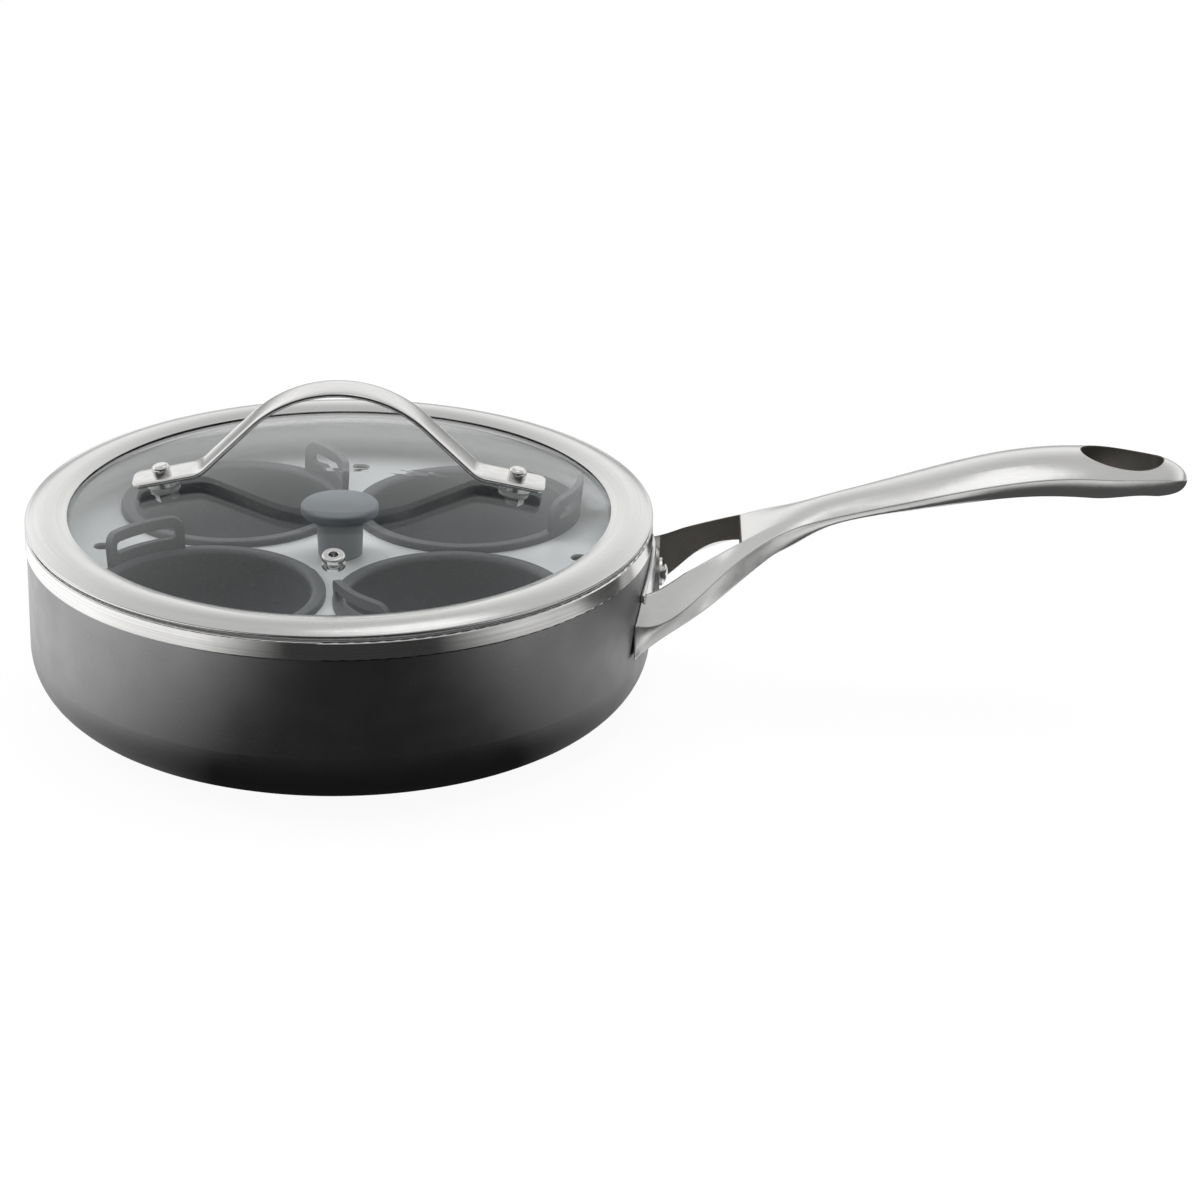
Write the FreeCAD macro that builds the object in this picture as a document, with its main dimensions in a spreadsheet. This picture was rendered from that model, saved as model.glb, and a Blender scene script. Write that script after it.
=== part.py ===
import FreeCAD, Part
import math
import os
import re
import Sketcher

# Egg poacher pan: a shallow pan with a forked cast handle, a hanging tray with four egg cups,
# and a domed glass lid with a steel rim and a strap handle.
# The origin is the centre of the flat base, +Z is up and the pan handle points along +X.

DOCUMENT = FreeCAD.newDocument("egg_poacher_pan")
SHEET = DOCUMENT.addObject("Spreadsheet::Sheet", "sizes")
FULL_TURN = 360
SHARE_DIGITS = 9

# Driving dimensions in millimetres and degrees
SIZES = (
    ("pan_radius", 103.6, "outside of the pan wall"),
    ("pan_wall", 3.6, "thickness of the pan wall"),
    ("pan_height", 60.6, "lip of the pan above its base"),
    ("pan_floor", 4.4, "thickness of the pan floor"),
    ("base_bend", 20, "outside bend between base and wall"),
    ("lip_round", 0.8, "rounding of the inner edge of the lip"),
    ("band_height", 6.6, "height of the bright band under the lip"),
    ("band_depth", 1.0, "rebate that the band sits in"),
    ("band_proud", 0.4, "how far the band stands out of the wall"),
    ("band_round", 0.6, "rounding of the band's outer edges"),
    ("snug_gap", 0.1, "clearance between pieces fixed to each other"),
    ("overrun", 20, "how far a cut runs past what it cuts"),
    ("tray_drop", 14.1, "tray surface below the lip"),
    ("tray_sheet", 0.9, "sheet thickness of the tray"),
    ("tray_gap", 0.6, "clearance between tray wall and pan wall"),
    ("tray_bend", 3, "inside bend at the foot of the tray wall"),
    ("flange_bend", 1.2, "rounding where the tray wall turns outward"),
    ("flange_reach", 2.3, "how far the tray flange lies on the lip"),
    ("steam_hole_radius", 3, "steam holes in the tray"),
    ("steam_hole_inset", 20.7, "steam holes from the pan wall"),
    ("steam_hole_turn", -2, "azimuth of the first steam hole"),
    ("cup_margin", 5.6, "least gap between a cup's rim and the pan wall"),
    ("cup_spacing", 2.4, "gap between the rims of neighbouring cups"),
    ("cup_turn", 43, "azimuth of the first cup"),
    ("cup_hole_gap", 0.7, "clearance of a cup in its hole"),
    ("cup_rim_width", 4.7, "rim of a cup round its mouth"),
    ("cup_rim_height", 2.2, "rim of a cup above the tray"),
    ("cup_rim_round", 0.8, "rounding of the rim's outer edge"),
    ("cup_sheet", 1.4, "wall of a cup"),
    ("cup_lip_round", 1.6, "rounding from rim to bowl"),
    ("cup_neck", 2.6, "straight wall below the tray surface"),
    ("cup_depth", 30, "depth inside a cup"),
    ("cup_floor_radius", 12, "flat bottom of a cup"),
    ("ear_azimuth_back_right", -18, "direction of each cup's lifting ear"),
    ("ear_azimuth_back_left", 30, "the same, second cup"),
    ("ear_azimuth_front_left", 129, "the same, third cup"),
    ("ear_azimuth_front_right", 218, "the same, fourth cup"),
    ("ear_height", 10.6, "lifting ear above the cup's rim"),
    ("ear_thickness", 2.2, "thickness of the ear"),
    ("ear_lean", 0.9, "how far the ear leans out at its top"),
    ("ear_span", 46, "arc of the ear in degrees"),
    ("ear_round", 4.6, "rounding of the ear's upper corners"),
    ("slot_span", 36, "arc of the slot in degrees"),
    ("slot_base", 3.5, "slot above the cup's rim"),
    ("slot_height", 3.7, "height of the slot"),
    ("slot_round", 1.5, "rounding of the slot's corners"),
    ("knob_height", 17.1, "knob above the tray"),
    ("knob_cap_radius", 12.8, "cap of the knob"),
    ("knob_cap_height", 3.4, "thickness of the cap"),
    ("knob_cap_round", 0.9, "rounding of the cap's edges"),
    ("knob_stem_radius", 7.9, "stem of the knob under the cap"),
    ("knob_foot_radius", 7.3, "stem of the knob at the tray"),
    ("knob_bore_depth", 11, "blind hole for the knob screw"),
    ("knob_screw_radius", 2, "shank of the knob screw"),
    ("knob_screw_head", 4, "head radius of the knob screw"),
    ("knob_screw_head_height", 2.4, "head of the knob screw"),
    ("knob_washer_radius", 5.6, "washer under the tray"),
    ("knob_washer_height", 0.8, "thickness of that washer"),
    ("glass_bend", 285, "radius of the dome's outer surface"),
    ("glass_thickness", 3.6, "thickness of the glass"),
    ("glass_lip_rise", 1.8, "dome above the lid's seat where it leaves the rim"),
    ("glass_bite", 6, "how far the glass reaches into its rim"),
    ("glass_gap", 0.15, "clearance of the glass in its rim"),
    ("lid_overhang", 0.4, "lid rim beyond the pan wall"),
    ("lid_rim_width", 14, "visible width of the lid rim"),
    ("lid_rim_edge", 0.9, "height of the lid rim's outer edge"),
    ("lid_rim_bow", 1.2, "bow of the lid rim's upper face"),
    ("lid_rim_sheet", 0.8, "sheet thickness of the lid rim"),
    ("lid_rim_hold", 4, "how far the rim reaches under the glass"),
    ("skirt_gap", 0.7, "clearance between lid skirt and tray wall"),
    ("strap_screw_radius", 58, "screws of the lid handle from the axis"),
    ("strap_thickness", 2, "thickness of the strap"),
    ("strap_width", 13.8, "width of the strap"),
    ("strap_tab", 9.6, "strap beyond its screw"),
    ("strap_rise", 28, "middle of the strap above the dome's top"),
    ("strap_top_bend", 40.8, "bend of the strap's top"),
    ("strap_foot_bend", 9, "bend at the strap's feet"),
    ("strap_riser_tilt", 44.5, "slope of the strap's risers in degrees"),
    ("strap_edge_round", 0.6, "rounding of the strap's edges"),
    ("lid_washer_radius", 5.8, "spacer under the strap"),
    ("lid_washer_height", 1.7, "thickness of that spacer"),
    ("lid_screw_radius", 2, "shank of a lid screw"),
    ("lid_screw_gap", 0.3, "clearance of a lid screw in its holes"),
    ("lid_screw_head", 3.1, "head radius of a lid screw"),
    ("lid_screw_head_height", 3, "head of a lid screw"),
    ("seal_washer_radius", 5, "washer under the glass"),
    ("seal_washer_height", 1, "thickness of that washer"),
    ("lid_nut_width", 7, "nut across its flats"),
    ("lid_nut_height", 2.8, "height of the nut"),
    ("vent_radius", 61.5, "steam vent from the axis"),
    ("vent_azimuth", -88.5, "direction of the steam vent"),
    ("vent_bore", 1.5, "hole through the vent"),
    ("vent_barrel", 2.2, "outside of the vent's barrel"),
    ("vent_flange", 3.8, "outside of the vent's flanges"),
    ("vent_height", 1.8, "vent above the glass"),
    ("vent_collar_height", 0.9, "collar under the glass"),
    ("handle_reach", 176.7, "tip of the handle from the pan wall"),
    ("handle_root", 25, "lower edge of the prongs at the pan wall"),
    ("handle_rise", 57.4, "widest line of the grip above that edge"),
    ("handle_spread", 72, "prongs across at the pan wall"),
    ("grip_width", 29, "width of the grip"),
    ("grip_crown", 4.5, "crown of the grip above its widest line"),
    ("grip_belly", 10.4, "grip below its widest line"),
    ("fork_length", 29.4, "gap of the fork from the pan wall"),
    ("fork_width", 48.4, "gap of the fork at the pan wall"),
    ("fork_end_width", 24, "gap of the fork at its end"),
    ("hang_hole_length", 27.4, "hanging hole along the handle"),
    ("hang_hole_width", 19, "hanging hole across the handle"),
    ("hang_hole_inset", 8.2, "hanging hole from the handle's tip"),
    ("plate_thickness", 1.2, "mounting plate on the pan wall"),
    ("plate_foot", 24, "lower edge of the plate"),
    ("plate_height", 28, "height of the plate at its middle"),
    ("plate_shoulder", 20, "height of the plate at its ends"),
    ("plate_span", 54, "width of the plate between its ends"),
    ("pad_height", 2.6, "face of the rivet pad above the pan wall"),
    ("pad_radius", 10.5, "ends of the rivet pad at the pan wall"),
    ("pad_face_radius", 7.6, "ends of the rivet pad at its face"),
    ("wall_gap", 0.15, "clearance between handle and pan wall"),
    ("rivet_low", 29, "lower rivet above the base"),
    ("rivet_high", 42, "upper rivet above the base"),
    ("rivet_shank", 2.8, "shank radius of a rivet"),
    ("rivet_head", 4.75, "head radius of a rivet"),
    ("rivet_head_height", 2.8, "head of a rivet"),
    ("rivet_head_edge", 0.9, "upright edge of that head"),
)

NAMES = {alias for alias, amount, meaning in SIZES}

# Sizes that several pieces share
PAN_BORE = "(pan_radius - pan_wall)"
TRAY_TOP = "(pan_height - tray_drop)"
TRAY_WALL = "(%s - tray_gap)" % PAN_BORE
LID_SEAT = "(pan_height + tray_sheet)"
LID_EDGE = "(pan_radius + lid_overhang)"
LID_LIP = "(%s - lid_rim_width)" % LID_EDGE
GLASS_EDGE = "(%s + glass_bite)" % LID_LIP
DOME_CENTRE = "(%s + glass_lip_rise - sqrt(glass_bend^2 - %s^2))" % (LID_SEAT, LID_LIP)
DOME_TOP = "(%s + glass_bend)" % DOME_CENTRE
HANDLE_WALL = "(pan_radius + wall_gap)"
PLATE_FACE = "(%s + plate_thickness)" % HANDLE_WALL
PAD_FACE = "(%s + pad_height)" % HANDLE_WALL
# Four cups fill the bore: each rim keeps its gap to the wall and to the rims beside it
CUP_HALF_TURN = FULL_TURN // 8
CUP_PITCH = "((%s - cup_margin + cup_spacing / 2) / (1 + sin(%d)))" % (PAN_BORE, CUP_HALF_TURN)
CUP_RIM = "(%s * sin(%d) - cup_spacing / 2)" % (CUP_PITCH, CUP_HALF_TURN)
CUP_MOUTH = "(%s - cup_rim_width)" % CUP_RIM
CUP_WALL = "(%s + cup_sheet)" % CUP_MOUTH


def fill_sheet():
    """Write the driving dimensions into the sheet, one aliased cell each."""
    for row, (alias, amount, meaning) in enumerate(SIZES, start=1):
        SHEET.set("A%d" % row, meaning)
        SHEET.set("B%d" % row, str(amount))
        SHEET.setAlias("B%d" % row, alias)
    DOCUMENT.recompute()


def bound(expression):
    """The expression with every size taken from the sheet."""
    def from_sheet(match):
        word = match.group()
        return "sizes." + word if word in NAMES else word

    return re.sub("[a-z_]+", from_sheet, expression)


def number(expression):
    """Value of an expression over the sheet."""
    result = SHEET.evalExpression(bound(expression))
    return float(getattr(result, "Value", result))


def bind(thing, path, expression):
    """Tie a property to an expression over the sheet."""
    thing.setExpression(path, bound(expression))


def new_body(label):
    """A body whose label names the sub-part."""
    body = DOCUMENT.addObject("PartDesign::Body", label)
    body.Label = label
    return body


def origin_feature(body, role):
    """One of the body's own origin planes or axes."""
    for feature in body.Origin.OriginFeatures:
        if feature.Role == role:
            return feature
    raise ValueError(role)


def new_sketch(body, role, offset=None):
    """A sketch on an origin plane of the body, moved along the plane's normal."""
    sketch = body.newObject("Sketcher::SketchObject", body.Label + "_sketch")
    sketch.AttachmentSupport = (origin_feature(body, role), [""])
    sketch.MapMode = "FlatFace"
    if offset:
        bind(sketch, "AttachmentOffset.Base.z", offset)
    return sketch


def pin_point(sketch, geometry, position, across, up):
    """Hold a point of the sketch at two expressions."""
    for kind, axis, expression in (("DistanceX", -2, across), ("DistanceY", -1, up)):
        amount = number(expression)
        if amount == 0:
            sketch.addConstraint(Sketcher.Constraint("PointOnObject", geometry, position, axis))
            continue
        constraint = sketch.addConstraint(
            Sketcher.Constraint(kind, -1, 1, geometry, position, amount))
        bind(sketch, "Constraints[%d]" % constraint, expression)


def place(point):
    """A pair of expressions as a point of the sketch plane."""
    return FreeCAD.Vector(number(point[0]), number(point[1]), 0)


def draw_outline(sketch, corners, arcs=None):
    """Draw a closed outline through corners given as pairs of expressions.

    arcs maps the number of an edge to a pair of expressions: a point that the edge bows through.
    """
    arcs = arcs or {}
    places = [place(corner) for corner in corners]
    starts = []
    ends = []
    for index, start in enumerate(places):
        end = places[(index + 1) % len(places)]
        forward = True
        if index in arcs:
            middle = place(arcs[index])
            sketch.addGeometry(Part.Arc(start, middle, end), False)
            forward = (middle - start).cross(end - middle).z > 0
        else:
            sketch.addGeometry(Part.LineSegment(start, end), False)
        starts.append(1 if forward else 2)
        ends.append(2 if forward else 1)
    for index, (across, up) in enumerate(corners):
        before = (index - 1) % len(corners)
        sketch.addConstraint(
            Sketcher.Constraint("Coincident", before, ends[before], index, starts[index]))
        pin_point(sketch, index, starts[index], across, up)
    for index, middle in arcs.items():
        point = sketch.addGeometry(Part.Point(place(middle)), True)
        pin_point(sketch, point, 1, *middle)
        sketch.addConstraint(Sketcher.Constraint("PointOnObject", point, 1, index))


def draw_rounded(sketch, corners, arcs=None):
    """Draw an outline whose square corners may carry a third expression, their radius.

    arcs is numbered by the corner that each bowed edge starts from.
    """
    arcs = arcs or {}
    places = [place(corner) for corner in corners]
    bow_share = 1 - math.sqrt(0.5)
    drawn = []
    bows = {}
    for index, corner in enumerate(corners):
        across, up = corner[:2]
        if len(corner) > 2:
            radius = corner[2]
            back = (places[index - 1] - places[index]).normalize()
            ahead = (places[(index + 1) % len(corners)] - places[index]).normalize()
            bow = (back + ahead) * bow_share
            bows[len(drawn)] = (shifted(across, radius, bow.x), shifted(up, radius, bow.y))
            drawn.append((shifted(across, radius, back.x), shifted(up, radius, back.y)))
            across = shifted(across, radius, ahead.x)
            up = shifted(up, radius, ahead.y)
        if index in arcs:
            bows[len(drawn)] = arcs[index]
        drawn.append((across, up))
    draw_outline(sketch, drawn, bows)


def shifted(start, length, share):
    """An expression moved by a share of a length, unchanged where the share rounds to nothing."""
    if not round(share, SHARE_DIGITS):
        return start
    return "%s + (%s) * %.9g" % (start, length, share)


def draw_circle(sketch, radius, across="0", up="0"):
    """Draw a circle with its radius and centre bound to expressions."""
    circle = sketch.addGeometry(
        Part.Circle(place((across, up)), FreeCAD.Vector(0, 0, 1), number(radius)), False)
    constraint = sketch.addConstraint(Sketcher.Constraint("Radius", circle, number(radius)))
    bind(sketch, "Constraints[%d]" % constraint, radius)
    pin_point(sketch, circle, 3, across, up)


def add_feature(body, kind, sketch):
    """A sketch-based feature at the end of the body."""
    feature = body.newObject("PartDesign::" + kind, body.Label + "_" + kind.lower())
    feature.Profile = sketch
    return feature


def revolve(body, corners, arcs=None, kind="Revolution", span=None):
    """Turn a profile of (radius, height) corners about Z, all round or over an arc about +X."""
    sketch = new_sketch(body, "XZ_Plane")
    draw_rounded(sketch, corners, arcs)
    feature = add_feature(body, kind, sketch)
    feature.ReferenceAxis = (sketch, ["V_Axis"])
    feature.Angle = FULL_TURN
    if span:
        feature.Midplane = True
        bind(feature, "Angle", span)
    return feature


def cut_through(body, sketch):
    """Cut a sketch through the whole body, both ways."""
    pocket = add_feature(body, "Pocket", sketch)
    pocket.Type = "ThroughAll"
    pocket.SideType = "Symmetric"
    return pocket


def repeat_round(body, feature, count):
    """Repeat a feature evenly about Z."""
    pattern = body.newObject("PartDesign::PolarPattern", body.Label + "_pattern")
    pattern.Originals = [feature]
    pattern.Axis = (origin_feature(body, "Z_Axis"), [""])
    pattern.Angle = FULL_TURN
    pattern.Occurrences = count
    body.Tip = pattern


def round_edges(body, radius, levels):
    """Round the level straight edges at any of the given heights of the body's own frame."""
    DOCUMENT.recompute()
    tip = body.Tip
    near = number("snug_gap")
    names = []
    for index, edge in enumerate(tip.Shape.Edges, start=1):
        for level in levels:
            off_level = max(abs(vertex.Z - level) for vertex in edge.Vertexes)
            if isinstance(edge.Curve, Part.Line) and off_level < near:
                names.append("Edge%d" % index)
    fillet = body.newObject("PartDesign::Fillet", body.Label + "_fillet")
    fillet.Base = (tip, names)
    bind(fillet, "Radius", radius)


def move_to(thing, across, along, up):
    """Tie the place of a sub-part to three expressions."""
    for axis, expression in zip("xyz", (across, along, up)):
        bind(thing, "Placement.Base." + axis, expression)


def seat_on_dome(thing, path, reach, azimuth):
    """Stand a body or a sketch square on the dome, at a distance and a direction from the axis."""
    turn = math.radians(number(azimuth))
    tilt = "asin((%s) / glass_bend)" % reach
    axis = FreeCAD.Vector(-math.sin(turn), math.cos(turn), 0)
    setattr(thing, path, FreeCAD.Placement(FreeCAD.Vector(), FreeCAD.Rotation(axis, number(tilt))))
    bind(thing, path + ".Base.x", "(%s) * cos(%s)" % (reach, azimuth))
    bind(thing, path + ".Base.y", "(%s) * sin(%s)" % (reach, azimuth))
    bind(thing, path + ".Base.z", dome_height("glass_bend", reach))
    bind(thing, path + ".Rotation.Angle", tilt)


def dome_height(bend, reach):
    """Height of a sphere about the dome's centre, at a distance from the axis."""
    return "%s + sqrt((%s)^2 - (%s)^2)" % (DOME_CENTRE, bend, reach)


# Pan

def build_pan_body():
    """Spun bowl with a rebate for the band and two rivet holes in its wall."""
    body = new_body("pan_body")
    rebate = "pan_height - band_height"
    seat = "pan_radius - band_depth"
    revolve(body, (
        ("0", "0"),
        ("pan_radius", "0", "base_bend"),
        ("pan_radius", rebate),
        (seat, rebate),
        (seat, "pan_height"),
        (PAN_BORE, "pan_height", "lip_round"),
        (PAN_BORE, "pan_floor", "base_bend - pan_wall"),
        ("0", "pan_floor"),
    ))
    cut_rivet_holes(body)


def cut_rivet_holes(body):
    """Two holes along +X for the rivets."""
    sketch = new_sketch(body, "YZ_Plane")
    for level in ("rivet_low", "rivet_high"):
        draw_circle(sketch, "rivet_shank + snug_gap", "0", level)
    pocket = add_feature(body, "Pocket", sketch)
    pocket.Reversed = True
    bind(pocket, "Length", PAD_FACE + " + pad_height")


def build_rim_band():
    """Bright band round the wall under the lip."""
    body = new_body("rim_band")
    face = "pan_radius + band_proud"
    revolve(body, (
        ("pan_radius - band_depth + snug_gap", "pan_height - band_height"),
        (face, "pan_height - band_height", "band_round"),
        (face, "pan_height", "band_round"),
        ("pan_radius - band_depth + snug_gap", "pan_height"),
    ))


def build_rivet(label, level):
    """Domed rivet through pad, plate and wall, flush with the inside of the pan."""
    body = new_body(label)
    head_edge = PAD_FACE + " + rivet_head_edge"
    head_top = PAD_FACE + " + rivet_head_height"
    rise = "(rivet_head_height - rivet_head_edge)"
    head_bend = "((rivet_head^2 + %s^2) / (2 * %s))" % (rise, rise)
    half_way = "rivet_head / 2"
    half_way_up = "%s - %s + sqrt(%s^2 - (%s)^2)" % (head_top, head_bend, head_bend, half_way)
    revolve(body, (
        ("0", PAN_BORE),
        ("rivet_shank", PAN_BORE),
        ("rivet_shank", PAD_FACE),
        ("rivet_head", PAD_FACE),
        ("rivet_head", head_edge),
        ("0", head_top),
    ), {4: (half_way, half_way_up)})
    quarter_turn = FULL_TURN / 4
    body.Placement = FreeCAD.Placement(
        FreeCAD.Vector(), FreeCAD.Rotation(FreeCAD.Vector(0, 1, 0), quarter_turn))
    move_to(body, "0", "0", level)


# Cast handle: sections from the pan wall to the tip.
# Each share is of the reach, of half the spread and of the rise; a section is upper edge, crease,
# lower edge and belly.
FORK_SECTION_SHARES = (
    (-0.032, ((0.761, 0.322), (0.928, 0.202), (1.028, 0.010), (0.700, 0.100))),
    (0.070, ((0.535, 0.444), (0.778, 0.289), (0.767, 0.192), (0.472, 0.253))),
    (0.166, ((0.340, 0.572), (0.533, 0.519), (0.517, 0.378), (0.278, 0.427))),
)
# Share of the reach, of the rise, of half the grip's width, of its crown and of its belly.
GRIP_SECTION_SHARES = (
    (0.263, 0.652, 0.78, 0.667, 0.913),
    (0.336, 0.713, 0.69, 0.89, 0.52),
    (0.461, 0.819, 0.83, 0.89, 0.58),
    (0.608, 0.932, 0.966, 1.04, 0.80),
    (0.772, 1.000, 1.00, 1.06, 1.00),
    (0.874, 0.989, 0.93, 1.10, 1.00),
    (0.947, 0.963, 0.655, 0.98, 0.81),
    (0.987, 0.932, 0.345, 0.62, 0.49),
    (0.9994, 0.914, 0.083, 0.16, 0.14),
)
UPPER_EDGE_SHARE = 0.55
SHOULDER_SHARE = 0.8
LOWER_TURNS = (17.5, 35, 50, 65)


def handle_sketch(body, along_share, half, bows):
    """One section across the handle, drawn from its right half."""
    sketch = new_sketch(body, "YZ_Plane", "pan_radius + handle_reach * %.9g" % along_share)
    left = [("-(%s)" % across, up) for across, up in half]
    upper, crease, lower, belly = half
    corners = (left[0], upper, crease, lower, belly, left[3], left[2], left[1])
    draw_outline(sketch, corners, bows)
    return sketch


def fork_sketch(body, along_share, half_shares):
    """A section of the fork, with flat facets."""
    half = [
        ("handle_spread / 2 * %.9g" % across_share, "handle_root + handle_rise * %.9g" % up_share)
        for across_share, up_share in half_shares
    ]
    return handle_sketch(body, along_share, half, {})


def grip_sketch(body, along_share, rise_share, width_share, crown_share, belly_share):
    """A section of the grip: a shallow crown over a half-oval belly, with a crease between them."""
    def on_crown(share):
        across = "grip_width / 2 * %.9g" % (width_share * share)
        return across, "%s + grip_crown * %.9g" % (level, crown_share * (1 - share ** 2))

    def on_belly(turn):
        across = "grip_width / 2 * %.9g" % (width_share * math.cos(math.radians(turn)))
        return across, "%s - grip_belly * %.9g" % (level, belly_share * math.sin(math.radians(turn)))

    def opposite(point):
        return "-(%s)" % point[0], point[1]

    level = "handle_root + handle_rise * %.9g" % rise_share
    side, lower, under, belly = (on_belly(turn) for turn in LOWER_TURNS)
    shoulder = on_crown(SHOULDER_SHARE)
    half = (on_crown(UPPER_EDGE_SHARE), on_crown(1), lower, belly)
    bows = {
        0: ("0", on_crown(0)[1]),
        1: shoulder,
        2: side,
        3: under,
        4: ("0", "%s - grip_belly * %.9g" % (level, belly_share)),
        5: opposite(under),
        6: opposite(side),
        7: opposite(shoulder),
    }
    return handle_sketch(body, along_share, half, bows)


def build_pan_handle():
    """Cast handle: plate on the pan wall, lofted form, open fork, hanging hole and rivet pad."""
    body = new_body("pan_handle")
    build_mounting_plate(body)
    sections = [fork_sketch(body, *shares) for shares in FORK_SECTION_SHARES]
    sections += [grip_sketch(body, *shares) for shares in GRIP_SECTION_SHARES]
    form = add_feature(body, "AdditiveLoft", sections[0])
    form.Sections = sections[1:]
    cut_fork_gap(body)
    cut_hanging_hole(body)
    add_rivet_pad(body)
    wall = new_sketch(body, "XY_Plane")
    draw_circle(wall, HANDLE_WALL)
    cut_through(body, wall)
    cut_rivet_holes(body)


def build_mounting_plate(body):
    """Curved plate against the pan wall, with an arched top."""
    top = "plate_foot + plate_height"
    shoulder = "plate_foot + plate_shoulder"
    half = "(plate_span / 2 + plate_thickness)"
    revolve(body, (
        (HANDLE_WALL, "plate_foot"),
        (PLATE_FACE, "plate_foot"),
        (PLATE_FACE, top),
        (HANDLE_WALL, top),
    ), span="2 * asin(plate_span / (2 * %s))" % HANDLE_WALL)
    arch = new_sketch(body, "YZ_Plane")
    draw_outline(arch, (
        ("-" + half, shoulder),
        (half, shoulder),
        (half, top + " + overrun"),
        ("-" + half, top + " + overrun"),
    ), {0: ("0", top)})
    cut_through(body, arch)


def cut_fork_gap(body):
    """Open space between the prongs, from the plate's face, narrowing away from the pan."""
    slope = "((fork_width - fork_end_width) / (2 * fork_length))"
    at_wall = "(fork_width / 2 + pan_radius * %s)" % slope
    spread = "(1 + %s^2)" % slope
    start = "((%s * %s + sqrt(%s * %s^2 - %s^2)) / %s)" % (slope, at_wall, spread, PLATE_FACE, at_wall, spread)
    start_half = "(%s - %s * %s)" % (at_wall, slope, start)
    end = "pan_radius + fork_length"
    sketch = new_sketch(body, "XY_Plane")
    draw_outline(sketch, (
        (start, "-" + start_half),
        (end, "-fork_end_width / 2"),
        (end, "fork_end_width / 2"),
        (start, start_half),
    ), {3: (PLATE_FACE, "0")})
    cut_through(body, sketch)


def add_rivet_pad(body):
    """Raised pad round the rivets, with sloping sides and a flat face under their heads."""
    sections = []
    for offset, radius in ((HANDLE_WALL, "pad_radius"), (PAD_FACE, "pad_face_radius")):
        sketch = new_sketch(body, "YZ_Plane", offset)
        draw_outline(sketch, (
            ("-" + radius, "rivet_low"),
            (radius, "rivet_low"),
            (radius, "rivet_high"),
            ("-" + radius, "rivet_high"),
        ), {0: ("0", "rivet_low - " + radius), 2: ("0", "rivet_high + " + radius)})
        sections.append(sketch)
    pad = add_feature(body, "AdditiveLoft", sections[0])
    pad.Sections = sections[1:]


def cut_hanging_hole(body):
    """Oval hole near the tip."""
    centre = "pan_radius + handle_reach - hang_hole_inset - hang_hole_length / 2"
    half_length = "hang_hole_length / 2"
    half_width = "hang_hole_width / 2"
    side_share = math.sqrt(0.5)
    quarters = ((1, 1), (-1, 1), (-1, -1), (1, -1))
    sketch = new_sketch(body, "XY_Plane")
    draw_outline(
        sketch,
        [(shifted(centre, half_length, side_share * along), "%s * %.9g" % (half_width, side_share * across))
         for along, across in quarters],
        {0: (centre, half_width), 1: (shifted(centre, half_length, -1), "0"),
         2: (centre, "-" + half_width), 3: (shifted(centre, half_length, 1), "0")})
    cut_through(body, sketch)


# Tray

def build_egg_tray():
    """Pressed dish that hangs on the lip, with cup holes, steam holes and a screw hole."""
    body = new_body("egg_tray")
    inner = "%s - tray_sheet" % TRAY_WALL
    edge = "%s + flange_reach" % PAN_BORE
    revolve(body, (
        ("0", "%s - tray_sheet" % TRAY_TOP),
        (TRAY_WALL, "%s - tray_sheet" % TRAY_TOP, "tray_bend + tray_sheet"),
        (TRAY_WALL, "pan_height"),
        (edge, "pan_height"),
        (edge, LID_SEAT),
        (inner, LID_SEAT, "flange_bend"),
        (inner, TRAY_TOP, "tray_bend"),
        ("0", TRAY_TOP),
    ))
    centre = new_sketch(body, "XY_Plane")
    draw_circle(centre, "knob_screw_radius + snug_gap")
    cut_through(body, centre)
    holes = (
        ("%s + cup_hole_gap" % CUP_WALL, CUP_PITCH, "cup_turn"),
        ("steam_hole_radius", "(%s - steam_hole_inset)" % PAN_BORE, "steam_hole_turn"),
    )
    for radius, pitch, turn in holes:
        sketch = new_sketch(body, "XY_Plane")
        draw_circle(sketch, radius, "%s * cos(%s)" % (pitch, turn), "%s * sin(%s)" % (pitch, turn))
        repeat_round(body, cut_through(body, sketch), len(CUPS))


def build_tray_knob():
    """Lifting knob: a flat cap on a waisted stem, with a blind hole from below."""
    body = new_body("tray_knob")
    bore = "knob_screw_radius + snug_gap"
    under_cap = "knob_height - knob_cap_height"
    revolve(body, (
        (bore, "0"),
        ("knob_foot_radius", "0"),
        ("knob_stem_radius", under_cap),
        ("knob_cap_radius", under_cap, "knob_cap_round"),
        ("knob_cap_radius", "knob_height", "knob_cap_round"),
        ("0", "knob_height"),
        ("0", "knob_bore_depth"),
        (bore, "knob_bore_depth"),
    ))
    move_to(body, "0", "0", TRAY_TOP)


def build_knob_fixings():
    """Screw and washer that hold the knob from under the tray."""
    washer = new_body("knob_washer")
    bore = "knob_screw_radius + snug_gap"
    revolve(washer, (
        (bore, "-knob_washer_height"),
        ("knob_washer_radius", "-knob_washer_height"),
        ("knob_washer_radius", "0"),
        (bore, "0"),
    ))
    move_to(washer, "0", "0", "%s - tray_sheet" % TRAY_TOP)
    screw = new_body("knob_screw")
    length = "knob_bore_depth + tray_sheet + knob_washer_height - snug_gap"
    revolve(screw, (
        ("0", "-knob_screw_head_height"),
        ("knob_screw_head", "-knob_screw_head_height", "knob_screw_head_height / 2"),
        ("knob_screw_head", "0"),
        ("knob_screw_radius", "0"),
        ("knob_screw_radius", length),
        ("0", length),
    ))
    move_to(screw, "0", "0", "%s - tray_sheet - knob_washer_height" % TRAY_TOP)


# Cups: name, quarter turns round the tray, direction of the ear
CUPS = (
    ("egg_cup_back_right", 0, "ear_azimuth_back_right"),
    ("egg_cup_back_left", 1, "ear_azimuth_back_left"),
    ("egg_cup_front_left", 2, "ear_azimuth_front_left"),
    ("egg_cup_front_right", 3, "ear_azimuth_front_right"),
)


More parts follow.
